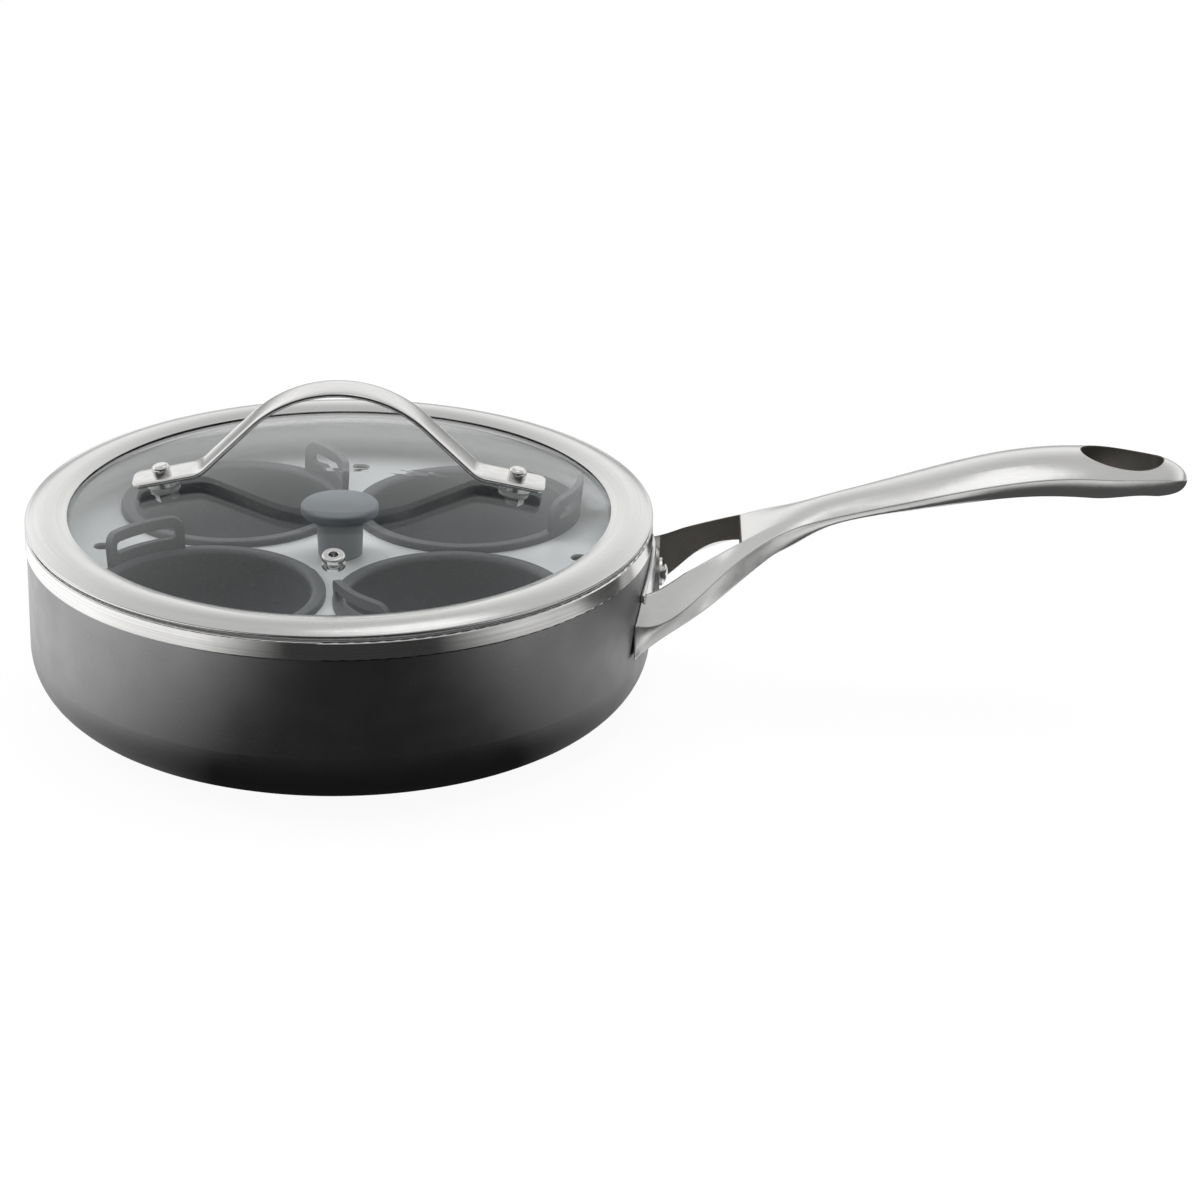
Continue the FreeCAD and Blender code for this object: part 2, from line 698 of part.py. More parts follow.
def build_egg_cup(label, quarter, ear_azimuth):
    """Round-bottomed cup with a turned-down rim and a slotted ear standing on the rim."""
    body = new_body(label)
    floor = "cup_rim_height - cup_depth"
    bulge_share = 0.83
    drop_share = 0.62
    revolve(body, (
        ("0", floor + " - cup_sheet"),
        ("cup_floor_radius", floor + " - cup_sheet"),
        (CUP_WALL, "-cup_neck"),
        (CUP_WALL, "cup_rim_height - cup_sheet"),
        (CUP_RIM + " - cup_sheet", "cup_rim_height - cup_sheet"),
        (CUP_RIM + " - cup_sheet", "0"),
        (CUP_RIM, "0"),
        (CUP_RIM, "cup_rim_height", "cup_rim_round"),
        (CUP_MOUTH, "cup_rim_height", "cup_lip_round"),
        (CUP_MOUTH, "-cup_neck"),
        ("cup_floor_radius", floor),
        ("0", floor),
    ), {
        1: ("%s * %.9g" % (CUP_WALL, bulge_share), "(%s - cup_sheet) * %.9g" % (floor, drop_share)),
        9: ("%s * %.9g" % (CUP_MOUTH, bulge_share), "(%s) * %.9g" % (floor, drop_share)),
    })
    add_ear(body)
    turn = "(cup_turn + %d)" % (quarter * FULL_TURN // len(CUPS))
    body.Placement = FreeCAD.Placement(
        FreeCAD.Vector(), FreeCAD.Rotation(FreeCAD.Vector(0, 0, 1), number(ear_azimuth)))
    move_to(body, "%s * cos%s" % (CUP_PITCH, turn), "%s * sin%s" % (CUP_PITCH, turn), TRAY_TOP)
    bind(body, "Placement.Rotation.Angle", ear_azimuth)


def add_ear(body):
    """Upright ear along the rim with a slot through it."""
    foot = "cup_rim_height - cup_sheet"
    top = "cup_rim_height + ear_height"
    revolve(body, (
        (CUP_RIM + " - ear_thickness", foot),
        (CUP_RIM, foot),
        (CUP_RIM + " + ear_lean", top),
        (CUP_RIM + " + ear_lean - ear_thickness", top),
    ), span="ear_span")
    slot_foot = "cup_rim_height + slot_base"
    slot_top = slot_foot + " + slot_height"
    inner = CUP_RIM + " - 2 * ear_thickness"
    outer = CUP_RIM + " + ear_lean + ear_thickness"
    revolve(body, (
        (inner, slot_foot), (outer, slot_foot), (outer, slot_top), (inner, slot_top),
    ), kind="Groove", span="slot_span")
    round_edges(body, "ear_round", [number(top)])
    round_edges(body, "slot_round", [number(slot_foot), number(slot_top)])


# Lid

# Screws of the lid handle: side, azimuth on the dome
LID_SIDES = (("right", "0"), ("left", "180"))


def build_lid_glass():
    """Domed glass with two screw holes and a vent hole, each square to the dome."""
    body = new_body("lid_glass")
    inner_bend = "(glass_bend - glass_thickness)"
    middle = GLASS_EDGE + " / 2"
    revolve(body, (
        ("0", DOME_TOP),
        ("0", "%s - glass_thickness" % DOME_TOP),
        (GLASS_EDGE, dome_height(inner_bend, GLASS_EDGE)),
        (GLASS_EDGE, dome_height("glass_bend", GLASS_EDGE)),
    ), {
        1: (middle, dome_height(inner_bend, middle)),
        3: (middle, dome_height("glass_bend", middle)),
    })
    screw_hole = "lid_screw_radius + lid_screw_gap"
    holes = [(screw_hole, "strap_screw_radius", azimuth) for side, azimuth in LID_SIDES]
    holes.append(("vent_barrel + snug_gap", "vent_radius", "vent_azimuth"))
    for radius, reach, azimuth in holes:
        sketch = new_sketch(body, "XY_Plane")
        seat_on_dome(sketch, "AttachmentOffset", reach, azimuth)
        draw_circle(sketch, radius)
        pocket = add_feature(body, "Pocket", sketch)
        bind(pocket, "Length", "2 * glass_thickness")


def build_lid_rim():
    """Steel rim crimped round the glass: bowed top, seat on the tray flange, skirt and under lip."""
    body = new_body("lid_rim")
    skirt = "(%s - tray_sheet - skirt_gap)" % TRAY_WALL
    groove = "(%s + glass_gap)" % GLASS_EDGE
    hold = "(%s - lid_rim_hold)" % GLASS_EDGE
    inner_bend = "(glass_bend - glass_thickness)"
    lip_top = "%s + glass_gap + lid_rim_sheet" % dome_height("glass_bend", LID_LIP)
    edge_top = "%s + lid_rim_edge" % LID_SEAT
    revolve(body, (
        (LID_LIP, "%s + glass_gap" % dome_height("glass_bend", LID_LIP)),
        (LID_LIP, lip_top),
        (LID_EDGE, edge_top),
        (LID_EDGE, LID_SEAT),
        (skirt, LID_SEAT),
        (skirt, "%s - glass_gap - lid_rim_sheet" % dome_height(inner_bend, skirt)),
        (hold, "%s - glass_gap - lid_rim_sheet" % dome_height(inner_bend, hold)),
        (hold, "%s - glass_gap" % dome_height(inner_bend, hold)),
        (groove, "%s - glass_gap" % dome_height(inner_bend, groove)),
        (groove, "%s + glass_gap" % dome_height("glass_bend", groove)),
    ), {1: (LID_EDGE + " - lid_rim_width / 2", "(%s + %s) / 2 + lid_rim_bow" % (lip_top, edge_top))})


def bent_path(corners, bends):
    """Wire of straight runs through the corners with tangent arcs at the inner ones."""
    edges = []
    start = corners[0]
    for before, corner, after, bend in zip(corners, corners[1:], corners[2:], bends):
        back = (before - corner).normalize()
        ahead = (after - corner).normalize()
        half_turn = (math.pi - back.getAngle(ahead)) / 2
        run = bend * math.tan(half_turn)
        sag = bend * (1 / math.cos(half_turn) - 1)
        arc_start = corner + back * run
        arc_end = corner + ahead * run
        arc_middle = corner + (back + ahead).normalize() * sag
        edges.append(Part.LineSegment(start, arc_start).toShape())
        edges.append(Part.Arc(arc_start, arc_middle, arc_end).toShape())
        start = arc_end
    edges.append(Part.LineSegment(start, corners[-1]).toShape())
    return Part.Wire(edges)


def strap_corners():
    """Corners of the strap's middle line, from its right end over the top to its left end."""
    tilt = math.asin(number("strap_screw_radius / glass_bend"))
    along_foot = FreeCAD.Vector(math.cos(tilt), 0, -math.sin(tilt))
    off_dome = FreeCAD.Vector(math.sin(tilt), 0, math.cos(tilt))
    screw_foot = FreeCAD.Vector(
        number("strap_screw_radius"), 0, number(dome_height("glass_bend", "strap_screw_radius")))
    screw = screw_foot + off_dome * number("lid_washer_height + strap_thickness / 2")
    end = screw + along_foot * number("strap_tab")
    riser_tilt = math.radians(number("strap_riser_tilt"))
    lift = number("strap_top_bend") * (1 / math.cos(riser_tilt) - 1)
    peak = FreeCAD.Vector(0, 0, number("%s + strap_rise" % DOME_TOP) + lift)
    drop = peak.z - screw.z - screw.x * math.tan(tilt)
    foot_reach = drop / (math.tan(riser_tilt) - math.tan(tilt))
    foot = FreeCAD.Vector(foot_reach, 0, peak.z - foot_reach * math.tan(riser_tilt))
    return [end, foot, peak, mirrored(foot), mirrored(end)]


def mirrored(point):
    """The same point on the other side of the axis."""
    return FreeCAD.Vector(-point.x, point.y, point.z)


def strap_section(start, direction):
    """Flat bar section with rounded edges, square to the strap's first run."""
    across = FreeCAD.Vector(0, 1, 0) * number("strap_width / 2")
    thick = direction.cross(across).normalize() * number("strap_thickness / 2")
    corners = [start - thick]
    for width_side, thick_side in ((1, -1), (1, 1), (-1, 1), (-1, -1)):
        corners.append(start + across * width_side + thick * thick_side)
    corners.append(start - thick)
    return bent_path(corners, [number("strap_edge_round")] * 4)


def build_lid_handle():
    """Strap bent into a bell, drilled for its two screws."""
    corners = strap_corners()
    bends = [number(bend) for bend in ("strap_foot_bend", "strap_top_bend", "strap_foot_bend")]
    path = bent_path(corners, bends)
    section = strap_section(corners[0], corners[1] - corners[0])
    strap = path.makePipeShell([section], True, False)
    hole_radius = number("lid_screw_radius + lid_screw_gap")
    depth = number("overrun")
    tilt = math.asin(number("strap_screw_radius / glass_bend"))
    for side in (1, -1):
        outward = FreeCAD.Vector(side * math.sin(tilt), 0, math.cos(tilt))
        dome_centre = FreeCAD.Vector(0, 0, number(DOME_CENTRE))
        start = dome_centre + outward * number("glass_bend")
        strap = strap.cut(Part.makeCylinder(hole_radius, depth, start, outward))
    feature = DOCUMENT.addObject("Part::Feature", "lid_handle")
    feature.Label = "lid_handle"
    feature.Shape = strap


def build_ring(label, inner, outer, foot, top):
    """Plain ring between two radii and two heights, in its own frame."""
    body = new_body(label)
    revolve(body, ((inner, foot), (outer, foot), (outer, top), (inner, top)))
    return body


def build_lid_fixings(side, azimuth):
    """Spacer, screw, seal washer and nut on one side of the lid handle."""
    hole = "lid_screw_radius + lid_screw_gap"
    seal_top = "-(glass_thickness + glass_gap)"
    nut_top = "%s - seal_washer_height" % seal_top
    nut_foot = "%s - lid_nut_height" % nut_top
    head_foot = "lid_washer_height + strap_thickness"
    head_top = head_foot + " + lid_screw_head_height"
    washer = build_ring("lid_washer_" + side, hole, "lid_washer_radius", "0", "lid_washer_height")
    seal = build_ring("lid_seal_" + side, hole, "seal_washer_radius", nut_top, seal_top)
    screw = new_body("lid_screw_" + side)
    revolve(screw, (
        ("0", nut_foot),
        ("lid_screw_radius", nut_foot),
        ("lid_screw_radius", head_foot),
        ("lid_screw_head", head_foot),
        ("lid_screw_head", head_top, "lid_screw_head_height / 2"),
        ("0", head_top),
    ))
    nut = build_nut("lid_nut_" + side, nut_foot)
    for body in (washer, seal, screw, nut):
        seat_on_dome(body, "Placement", "strap_screw_radius", azimuth)


def build_nut(label, foot):
    """Six-sided nut with a plain bore."""
    body = new_body(label)
    sides = 6
    sketch = new_sketch(body, "XY_Plane", foot)
    corner_radius = "lid_nut_width / (2 * cos(%d))" % (FULL_TURN // 2 // sides)
    turns = [FULL_TURN // sides * index for index in range(sides)]
    draw_outline(sketch, [
        ("%s * cos(%d)" % (corner_radius, turn), "%s * sin(%d)" % (corner_radius, turn)) for turn in turns])
    draw_circle(sketch, "lid_screw_radius + snug_gap")
    pad = add_feature(body, "Pad", sketch)
    bind(pad, "Length", "lid_nut_height")
    return body


def build_vent():
    """Steam vent: a flanged eyelet from above and a collar under the glass."""
    eyelet = new_body("vent_eyelet")
    collar_top = "-(glass_thickness + glass_gap)"
    foot = "%s - vent_collar_height" % collar_top
    revolve(eyelet, (
        ("vent_bore", foot),
        ("vent_barrel", foot),
        ("vent_barrel", "0"),
        ("vent_flange", "0"),
        ("vent_flange", "vent_height", "vent_height / 2"),
        ("vent_bore", "vent_height", "vent_height / 4"),
    ))
    collar = build_ring("vent_collar", "vent_barrel + snug_gap", "vent_flange", foot, collar_top)
    for body in (eyelet, collar):
        seat_on_dome(body, "Placement", "vent_radius", "vent_azimuth")


# Build, check and write

def build_all():
    """Make every sub-part in the document."""
    build_pan_body()
    build_rim_band()
    build_pan_handle()
    build_rivet("handle_rivet_lower", "rivet_low")
    build_rivet("handle_rivet_upper", "rivet_high")
    build_egg_tray()
    build_tray_knob()
    build_knob_fixings()
    for label, quarter, ear_azimuth in CUPS:
        build_egg_cup(label, quarter, ear_azimuth)
    build_lid_glass()
    build_lid_rim()
    build_lid_handle()
    for side, azimuth in LID_SIDES:
        build_lid_fixings(side, azimuth)
    build_vent()
    DOCUMENT.recompute()


def check_document():
    """Stop if any object failed or any sub-part is empty, broken or in pieces."""
    for thing in DOCUMENT.Objects:
        if "Invalid" in thing.State or "Error" in thing.State:
            raise RuntimeError("%s failed: %s" % (thing.Label, thing.State))
    for thing in sub_parts():
        if thing.Shape.isNull() or not thing.Shape.isValid() or len(thing.Shape.Solids) != 1:
            raise RuntimeError("%s has no single valid solid" % thing.Label)


def sub_parts():
    """The objects that are written, each under its label."""
    return [
        thing for thing in DOCUMENT.Objects
        if thing.TypeId in ("PartDesign::Body", "Part::Feature")
    ]


def write_parts():
    """Write each sub-part to its own file."""
    os.makedirs("parts", exist_ok=True)
    for thing in sub_parts():
        thing.Shape.exportStep("parts/%s.step" % thing.Label)
        box = thing.Shape.BoundBox
        print("%-24s %9.0f mm3  x %.1f..%.1f  y %.1f..%.1f  z %.1f..%.1f" % (
            thing.Label, thing.Shape.Volume, box.XMin, box.XMax, box.YMin, box.YMax, box.ZMin, box.ZMax))


fill_sheet()
build_all()
check_document()
write_parts()
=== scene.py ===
import logging
import math
from dataclasses import dataclass, field
from enum import Enum

import bmesh
import bpy
import numpy as np
from mathutils import Matrix, Vector


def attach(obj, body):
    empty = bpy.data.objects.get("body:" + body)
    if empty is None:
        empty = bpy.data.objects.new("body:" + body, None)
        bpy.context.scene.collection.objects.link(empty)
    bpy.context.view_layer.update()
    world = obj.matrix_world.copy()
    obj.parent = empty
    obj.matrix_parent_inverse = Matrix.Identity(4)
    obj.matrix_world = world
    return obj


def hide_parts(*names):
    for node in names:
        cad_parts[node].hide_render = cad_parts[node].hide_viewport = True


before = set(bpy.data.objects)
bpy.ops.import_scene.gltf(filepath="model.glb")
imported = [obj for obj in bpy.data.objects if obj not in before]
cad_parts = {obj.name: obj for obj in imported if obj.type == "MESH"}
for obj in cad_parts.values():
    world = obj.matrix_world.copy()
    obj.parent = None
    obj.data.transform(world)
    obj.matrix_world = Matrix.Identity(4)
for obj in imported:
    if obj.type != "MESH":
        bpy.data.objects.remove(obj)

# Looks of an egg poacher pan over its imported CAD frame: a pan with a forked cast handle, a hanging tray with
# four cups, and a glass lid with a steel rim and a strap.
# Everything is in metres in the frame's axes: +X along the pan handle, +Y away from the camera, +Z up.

LOG = logging.getLogger("egg_poacher_pan")
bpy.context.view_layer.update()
MM = 0.001
FULL_TURN = 2 * math.pi
NOISE_SPAN = (0.3, 0.7)  # most values of a noise lie in here
MIX_INPUTS = (0, 6, 7)  # places of a Mix node's share and its two colours
MIX_OUTPUT = 2  # place of its mixed colour

Colour = tuple[float, float, float]
Point = tuple[float, float, float]
Span = tuple[float, float]
Node = bpy.types.Node
Socket = bpy.types.NodeSocket
Sockets = dict[str, Socket]
Inputs = dict[str, object]


class Body(Enum):
    """Body of the frame that new pieces ride on."""

    LID = "lid"


class Slot(Enum):
    """Names of material slots of the record; the new pieces do not take their finish from them."""

    POLISHED = "polished_steel"
    RIM = "rim_steel"


class Lay(Enum):
    """Direction of the fine marks that a tool leaves on metal."""

    ROUND = "round the Z axis"
    ALONG = "along the X axis"


# Surfaces

def rounded_corners(corners: np.ndarray, radii: np.ndarray, steps: int) -> np.ndarray:
    """Round the corners of a closed outline.

    Each corner becomes an arc that touches both its sides: the arc's centre lies on the corner's bisector, and
    the arc turns evenly from one touching point to the other.

    Args:
        corners: array of n points in a plane, n x 2.
        radii: radius of each corner.
        steps: points on each arc.

    Returns:
        The outline as an array of n * steps points.
    """
    back = np.roll(corners, 1, axis=0) - corners
    ahead = np.roll(corners, -1, axis=0) - corners
    back /= np.linalg.norm(back, axis=1, keepdims=True)
    ahead /= np.linalg.norm(ahead, axis=1, keepdims=True)
    half = np.arccos(np.clip((back * ahead).sum(axis=1), -1, 1)) / 2
    bisector = (back + ahead) / np.linalg.norm(back + ahead, axis=1, keepdims=True)
    centre = corners + bisector * (radii / np.sin(half))[:, None]
    run = (radii / np.tan(half))[:, None]
    first = corners + back * run - centre
    last = corners + ahead * run - centre
    sweep = (math.pi - 2 * half)[:, None, None]
    share = np.linspace(0, 1, steps)[None, :, None]
    arc = (np.sin((1 - share) * sweep) * first[:, None] + np.sin(share * sweep) * last[:, None]) / np.sin(sweep)
    return (centre[:, None] + arc).reshape(-1, 2)


def evenly_spaced(path: np.ndarray, count: int) -> np.ndarray:
    """Place points at equal distances along a path.

    Args:
        path: array of points, n x 2.
        count: number of points wanted.

    Returns:
        The path as count points, with the same ends.
    """
    length = np.concatenate([[0], np.cumsum(np.linalg.norm(np.diff(path, axis=0), axis=1))])
    wanted = np.linspace(0, length[-1], count)
    return np.stack([np.interp(wanted, length, path[:, axis]) for axis in (0, 1)], axis=1)


def turned_surface(outline: np.ndarray, steps: int) -> np.ndarray:
    """Turn an outline about Z: a point at radius r and height z goes to (r cos t, r sin t, z).

    Args:
        outline: array of (radius, height) points.
        steps: points round the axis.

    Returns:
        A grid of points, outline x steps x 3.
    """
    turn = np.linspace(0, FULL_TURN, steps, endpoint=False)
    radius = outline[:, :1]
    height = np.broadcast_to(outline[:, 1:], (len(outline), steps))
    return np.stack([radius * np.cos(turn), radius * np.sin(turn), height], axis=-1)


def grid_object(name: str, points: np.ndarray, ends: bool, sharp_from: float) -> bpy.types.Object:
    """Make a closed object from a grid whose columns join up.

    Args:
        name: name of the piece.
        points: grid of points, rows x columns x 3.
        ends: True closes the first and last row with flat faces, False joins the rows up too.
        sharp_from: angle in degrees from which an edge is shaded sharp.

    Returns:
        The object, linked to the scene.
    """
    rows, columns = points.shape[:2]
    index = np.arange(rows * columns).reshape(rows, columns)
    index = np.hstack([index, index[:, :1]])
    faces = []
    if ends:
        faces = [index[0, :columns].tolist(), index[-1, :columns].tolist()]
    else:
        index = np.vstack([index, index[:1]])
    quads = np.stack([index[:-1, :-1], index[1:, :-1], index[1:, 1:], index[:-1, 1:]], axis=-1)
    mesh = bpy.data.meshes.new(name)
    mesh.from_pydata(points.reshape(-1, 3), [], quads.reshape(-1, 4).tolist() + faces)
    shaped = bmesh.new()
    shaped.from_mesh(mesh)
    bmesh.ops.recalc_face_normals(shaped, faces=shaped.faces[:])
    shaped.to_mesh(mesh)
    shaped.free()
    mesh.polygons.foreach_set("use_smooth", np.ones(len(mesh.polygons), bool))
    mesh.set_sharp_from_angle(angle=math.radians(sharp_from))
    thing = bpy.data.objects.new(name, mesh)
    bpy.context.scene.collection.objects.link(thing)
    return thing


# Node boards and shared effects

@dataclass
class NodeBoard:
    """Adds nodes to one node tree and wires them."""

    tree: bpy.types.NodeTree

    def add(self, kind: str, *values: object, **settings: object) -> Node:
        """Add a node.

        Args:
            kind: Blender's name of the node type, without ShaderNode.
            values: what goes into its first inputs, in order.
            settings: properties of the node.

        Returns:
            The node.
        """
        node = self.tree.nodes.new("ShaderNode" + kind)
        for name, value in settings.items():
            setattr(node, name, value)
        for target, value in zip(node.inputs, values):
            self.feed(target, value)
        return node

    def feed(self, target: Socket, value: object) -> None:
        """Wire a socket, or set a plain value, into an input.

        Args:
            target: the input.
            value: an output socket, a number, a colour or a vector.
        """
        if isinstance(value, Socket):
            self.tree.links.new(value, target)
        else:
            target.default_value = value

    def work(self, operation: str, *values: object, clamp: bool = False) -> Socket:
        """Work out one number from others.

        Args:
            operation: Blender's name of the operation.
            values: sockets or numbers.
            clamp: True holds the result between 0 and 1.

        Returns:
            The result.
        """
        return self.add("Math", *values, operation=operation, use_clamp=clamp).outputs[0]

    def spread(self, value: Socket, low: float, high: float, to_low: float = 0, to_high: float = 1) -> Socket:
        """Stretch a range of values evenly over another one, and hold it there.

        Args:
            value: what is stretched.
            low: value that becomes to_low.
            high: value that becomes to_high.
            to_low: start of the new range.
            to_high: end of the new range.

        Returns:
            The stretched value.
        """
        return self.add("MapRange", value, low, high, to_low, to_high, clamp=True).outputs[0]

    def blend(self, share: object, first: object, second: object) -> Socket:
        """Mix two colours.

        Args:
            share: how much of the second colour there is.
            first: colour at share 0.
            second: colour at share 1.

        Returns:
            The mixed colour.
        """
        node = self.add("Mix", data_type="RGBA", clamp_factor=True)
        for place, value in zip(MIX_INPUTS, (share, first, second)):
            self.feed(node.inputs[place], value if isinstance(value, (Socket, float)) else (*value, 1))
        return node.outputs[MIX_OUTPUT]

    def noise(self, place: Socket, scale: object, detail: float) -> Socket:
        """Cloudy noise at a place.

        Args:
            place: where it is read.
            scale: clouds per metre.
            detail: octaves.

        Returns:
            A value about one half.
        """
        node = self.add("TexNoise")
        for name, value in (("Vector", place), ("Scale", scale), ("Detail", detail)):
            self.feed(node.inputs[name], value)
        return node.outputs[0]

    def split(self, place: Socket) -> tuple[Socket, Socket, Socket]:
        """The three parts of a place or a direction."""
        return tuple(self.add("SeparateXYZ", place).outputs)

    def join(self, across: object, along: object, up: object) -> Socket:
        """A place made of its three parts."""
        return self.add("CombineXYZ", across, along, up).outputs[0]

    def times(self, first: object, *others: object) -> Socket:
        """The product of sockets or numbers."""
        for other in others:
            first = self.work("MULTIPLY", first, other)
        return first

    def squared(self, across: Socket, along: Socket) -> Socket:
        """The squared length of a flat step, from its two parts."""
        return self.work("ADD", self.times(across, across), self.times(along, along))

    def choose(self, share: Socket, first: Node, second: Node) -> Node:
        """Mix two shaders.

        Args:
            share: how much of the second shader there is.
            first: shader at share 0.
            second: shader at share 1.

        Returns:
            The mixing node.
        """
        return self.add("MixShader", share, first.outputs[0], second.outputs[0])

    def use(self, group: bpy.types.NodeTree, **values: object) -> Sockets:
        """Place a shared effect on the board.

        Args:
            group: the effect's node group.
            values: its inputs by name.

        Returns:
            Its outputs by name.
        """
        node = self.add("Group", node_tree=group)
        for name, value in values.items():
            self.feed(node.inputs[name], value)
        return {output.name: output for output in node.outputs}


class Effect:
    """A shared effect: a node group that is built once and reads a place on the surface."""

    name = ""
    inputs: tuple[tuple[str, float], ...] = ()
    outputs: tuple[str, ...] = ()

    @classmethod
    def group(cls) -> bpy.types.NodeTree:
        """The effect's node group, made when first asked for."""
        found = bpy.data.node_groups.get(cls.name)
        if found:
            return found
        tree = bpy.data.node_groups.new(cls.name, "ShaderNodeTree")
        tree.interface.new_socket("Place", in_out="INPUT", socket_type="NodeSocketVector")
        for label, value in cls.inputs:
            socket = tree.interface.new_socket(label, in_out="INPUT", socket_type="NodeSocketFloat")
            socket.default_value = value
        for label in cls.outputs:
            tree.interface.new_socket(label, in_out="OUTPUT", socket_type="NodeSocketFloat")
        board = NodeBoard(tree)
        entry = tree.nodes.new("NodeGroupInput")
        given = {socket.name: socket for socket in entry.outputs if socket.name}
        result = cls.draw(board, given)
        leave = tree.nodes.new("NodeGroupOutput")
        for label, socket in result.items():
            board.feed(leave.inputs[label], socket)
        return tree

    @classmethod
    def draw(cls, board: NodeBoard, given: Sockets) -> Sockets:
        """Wire the effect; each effect has its own.

        Args:
            board: where its nodes go.
            given: its inputs by name.

        Returns:
            Its outputs by name.
        """
        raise NotImplementedError


class Speckle(Effect):
    """Fine grains of a coating, with soft clouds that are larger."""

    name = "fine speckle"
    inputs = (("Grains", 2000.0), ("Cover", 0.5))
    outputs = ("Grain", "Cloud", "Height")
    cloud_scale = 0.04
    bare_edge = 0.75
    cover_drop = 0.3
    steepness = 8

    @classmethod
    def draw(cls, board: NodeBoard, given: Sockets) -> Sockets:
        """Grains stand out of a fine noise where it is high; clouds are the same noise made coarse."""
        fine = board.noise(given["Place"], given["Grains"], detail=2)
        broad = board.times(given["Grains"], cls.cloud_scale)
        coarse = board.noise(given["Place"], broad, detail=3)
        edge = board.work("SUBTRACT", cls.bare_edge, board.times(given["Cover"], cls.cover_drop))
        over = board.work("MULTIPLY", board.work("SUBTRACT", fine, edge), cls.steepness, clamp=True)
        return {"Grain": over, "Cloud": board.spread(coarse, *NOISE_SPAN), "Height": fine}


class Streaks(Effect):
    """Marks that a tool leaves in one direction."""

    outputs = ("Streak", "Height")

    @classmethod
    def draw(cls, board: NodeBoard, given: Sockets) -> Sockets:
        """Noise at a place that is drawn out along the marks."""
        streak = board.noise(cls.drawn_out(board, given), 1, detail=3)
        return {"Streak": board.spread(streak, *NOISE_SPAN), "Height": streak}

    @classmethod
    def drawn_out(cls, board: NodeBoard, given: Sockets) -> Socket:
        """Where the noise is read; each lay has its own.

        Args:
            board: where the nodes go.
            given: the effect's inputs by name.

        Returns:
            The place.
        """
        raise NotImplementedError


class RoundStreaks(Streaks):
    """Marks that run round the Z axis, as a lathe or a polishing wheel leaves them."""

    name = "round streaks"
    inputs = (("Streaks", 900.0), ("Runs", 3.0))
    least_radius = 0.1 * MM

    @classmethod
    def drawn_out(cls, board: NodeBoard, given: Sockets) -> Socket:
        """The noise changes fast with radius plus height, and slowly with the direction from the axis."""
        across, along, up = board.split(given["Place"])
        radius = board.work("SQRT", board.squared(across, along))
        runs = board.work("DIVIDE", given["Runs"], board.work("MAXIMUM", radius, cls.least_radius))
        height = board.times(board.work("ADD", radius, up), given["Streaks"])
        return board.join(board.times(across, runs), board.times(along, runs), height)


class LongStreaks(Streaks):
    """Marks that run along the X axis, as a belt leaves them on a long piece."""

    name = "long streaks"
    inputs = (("Streaks", 900.0), ("Runs", 20.0))

    @classmethod
    def drawn_out(cls, board: NodeBoard, given: Sockets) -> Socket:
        """The noise changes fast across and up, and slowly along the piece."""
        scales = (given["Runs"], given["Streaks"], given["Streaks"])
        parts = zip(board.split(given["Place"]), scales)
        return board.join(*(board.times(part, scale) for part, scale in parts))


class HandMarks(Effect):
    """Soft smears that hands and cloths leave, which change the gloss a little."""

    name = "hand marks"
    inputs = (("Size", 60.0),)
    outputs = ("Smear",)
    narrow_scale = 4.7
    shown_span = (0.2, 0.42)

    @classmethod
    def draw(cls, board: NodeBoard, given: Sockets) -> Sockets:
        """Two noises of different size, shown where both are high."""
        broad = board.noise(given["Place"], given["Size"], detail=2)
        narrow = board.noise(given["Place"], board.times(given["Size"], cls.narrow_scale), detail=4)
        return {"Smear": board.spread(board.times(broad, narrow), *cls.shown_span)}


class EdgeWear(Effect):
    """Bare edges: a mask that is high where the surface turns within a small distance."""

    name = "edge wear"
    inputs = (("Reach", 0.0006),)
    outputs = ("Edge",)
    turn_span = (0.98, 0.75)
    break_scale = 700
    break_span = (0.3, 0.6)
    least_wear = 0.3

    @classmethod
    def draw(cls, board: NodeBoard, given: Sockets) -> Sockets:
        """The surface's direction against its direction when rounded off, broken up by noise."""
        rounded = board.add("Bevel", given["Reach"], samples=6).outputs[0]
        plain = board.add("NewGeometry").outputs["Normal"]
        same = board.add("VectorMath", rounded, plain, operation="DOT_PRODUCT")
        turn = board.spread(same.outputs["Value"], *cls.turn_span)
        noise = board.noise(given["Place"], cls.break_scale, detail=3)
        broken = board.spread(noise, *cls.break_span, cls.least_wear, 1)
        return {"Edge": board.times(turn, broken)}


# Finishes

def shaded(colour: Colour, share: float) -> Colour:
    """A colour made darker or lighter, to white at most."""
    return tuple(min(1, part * share) for part in colour)


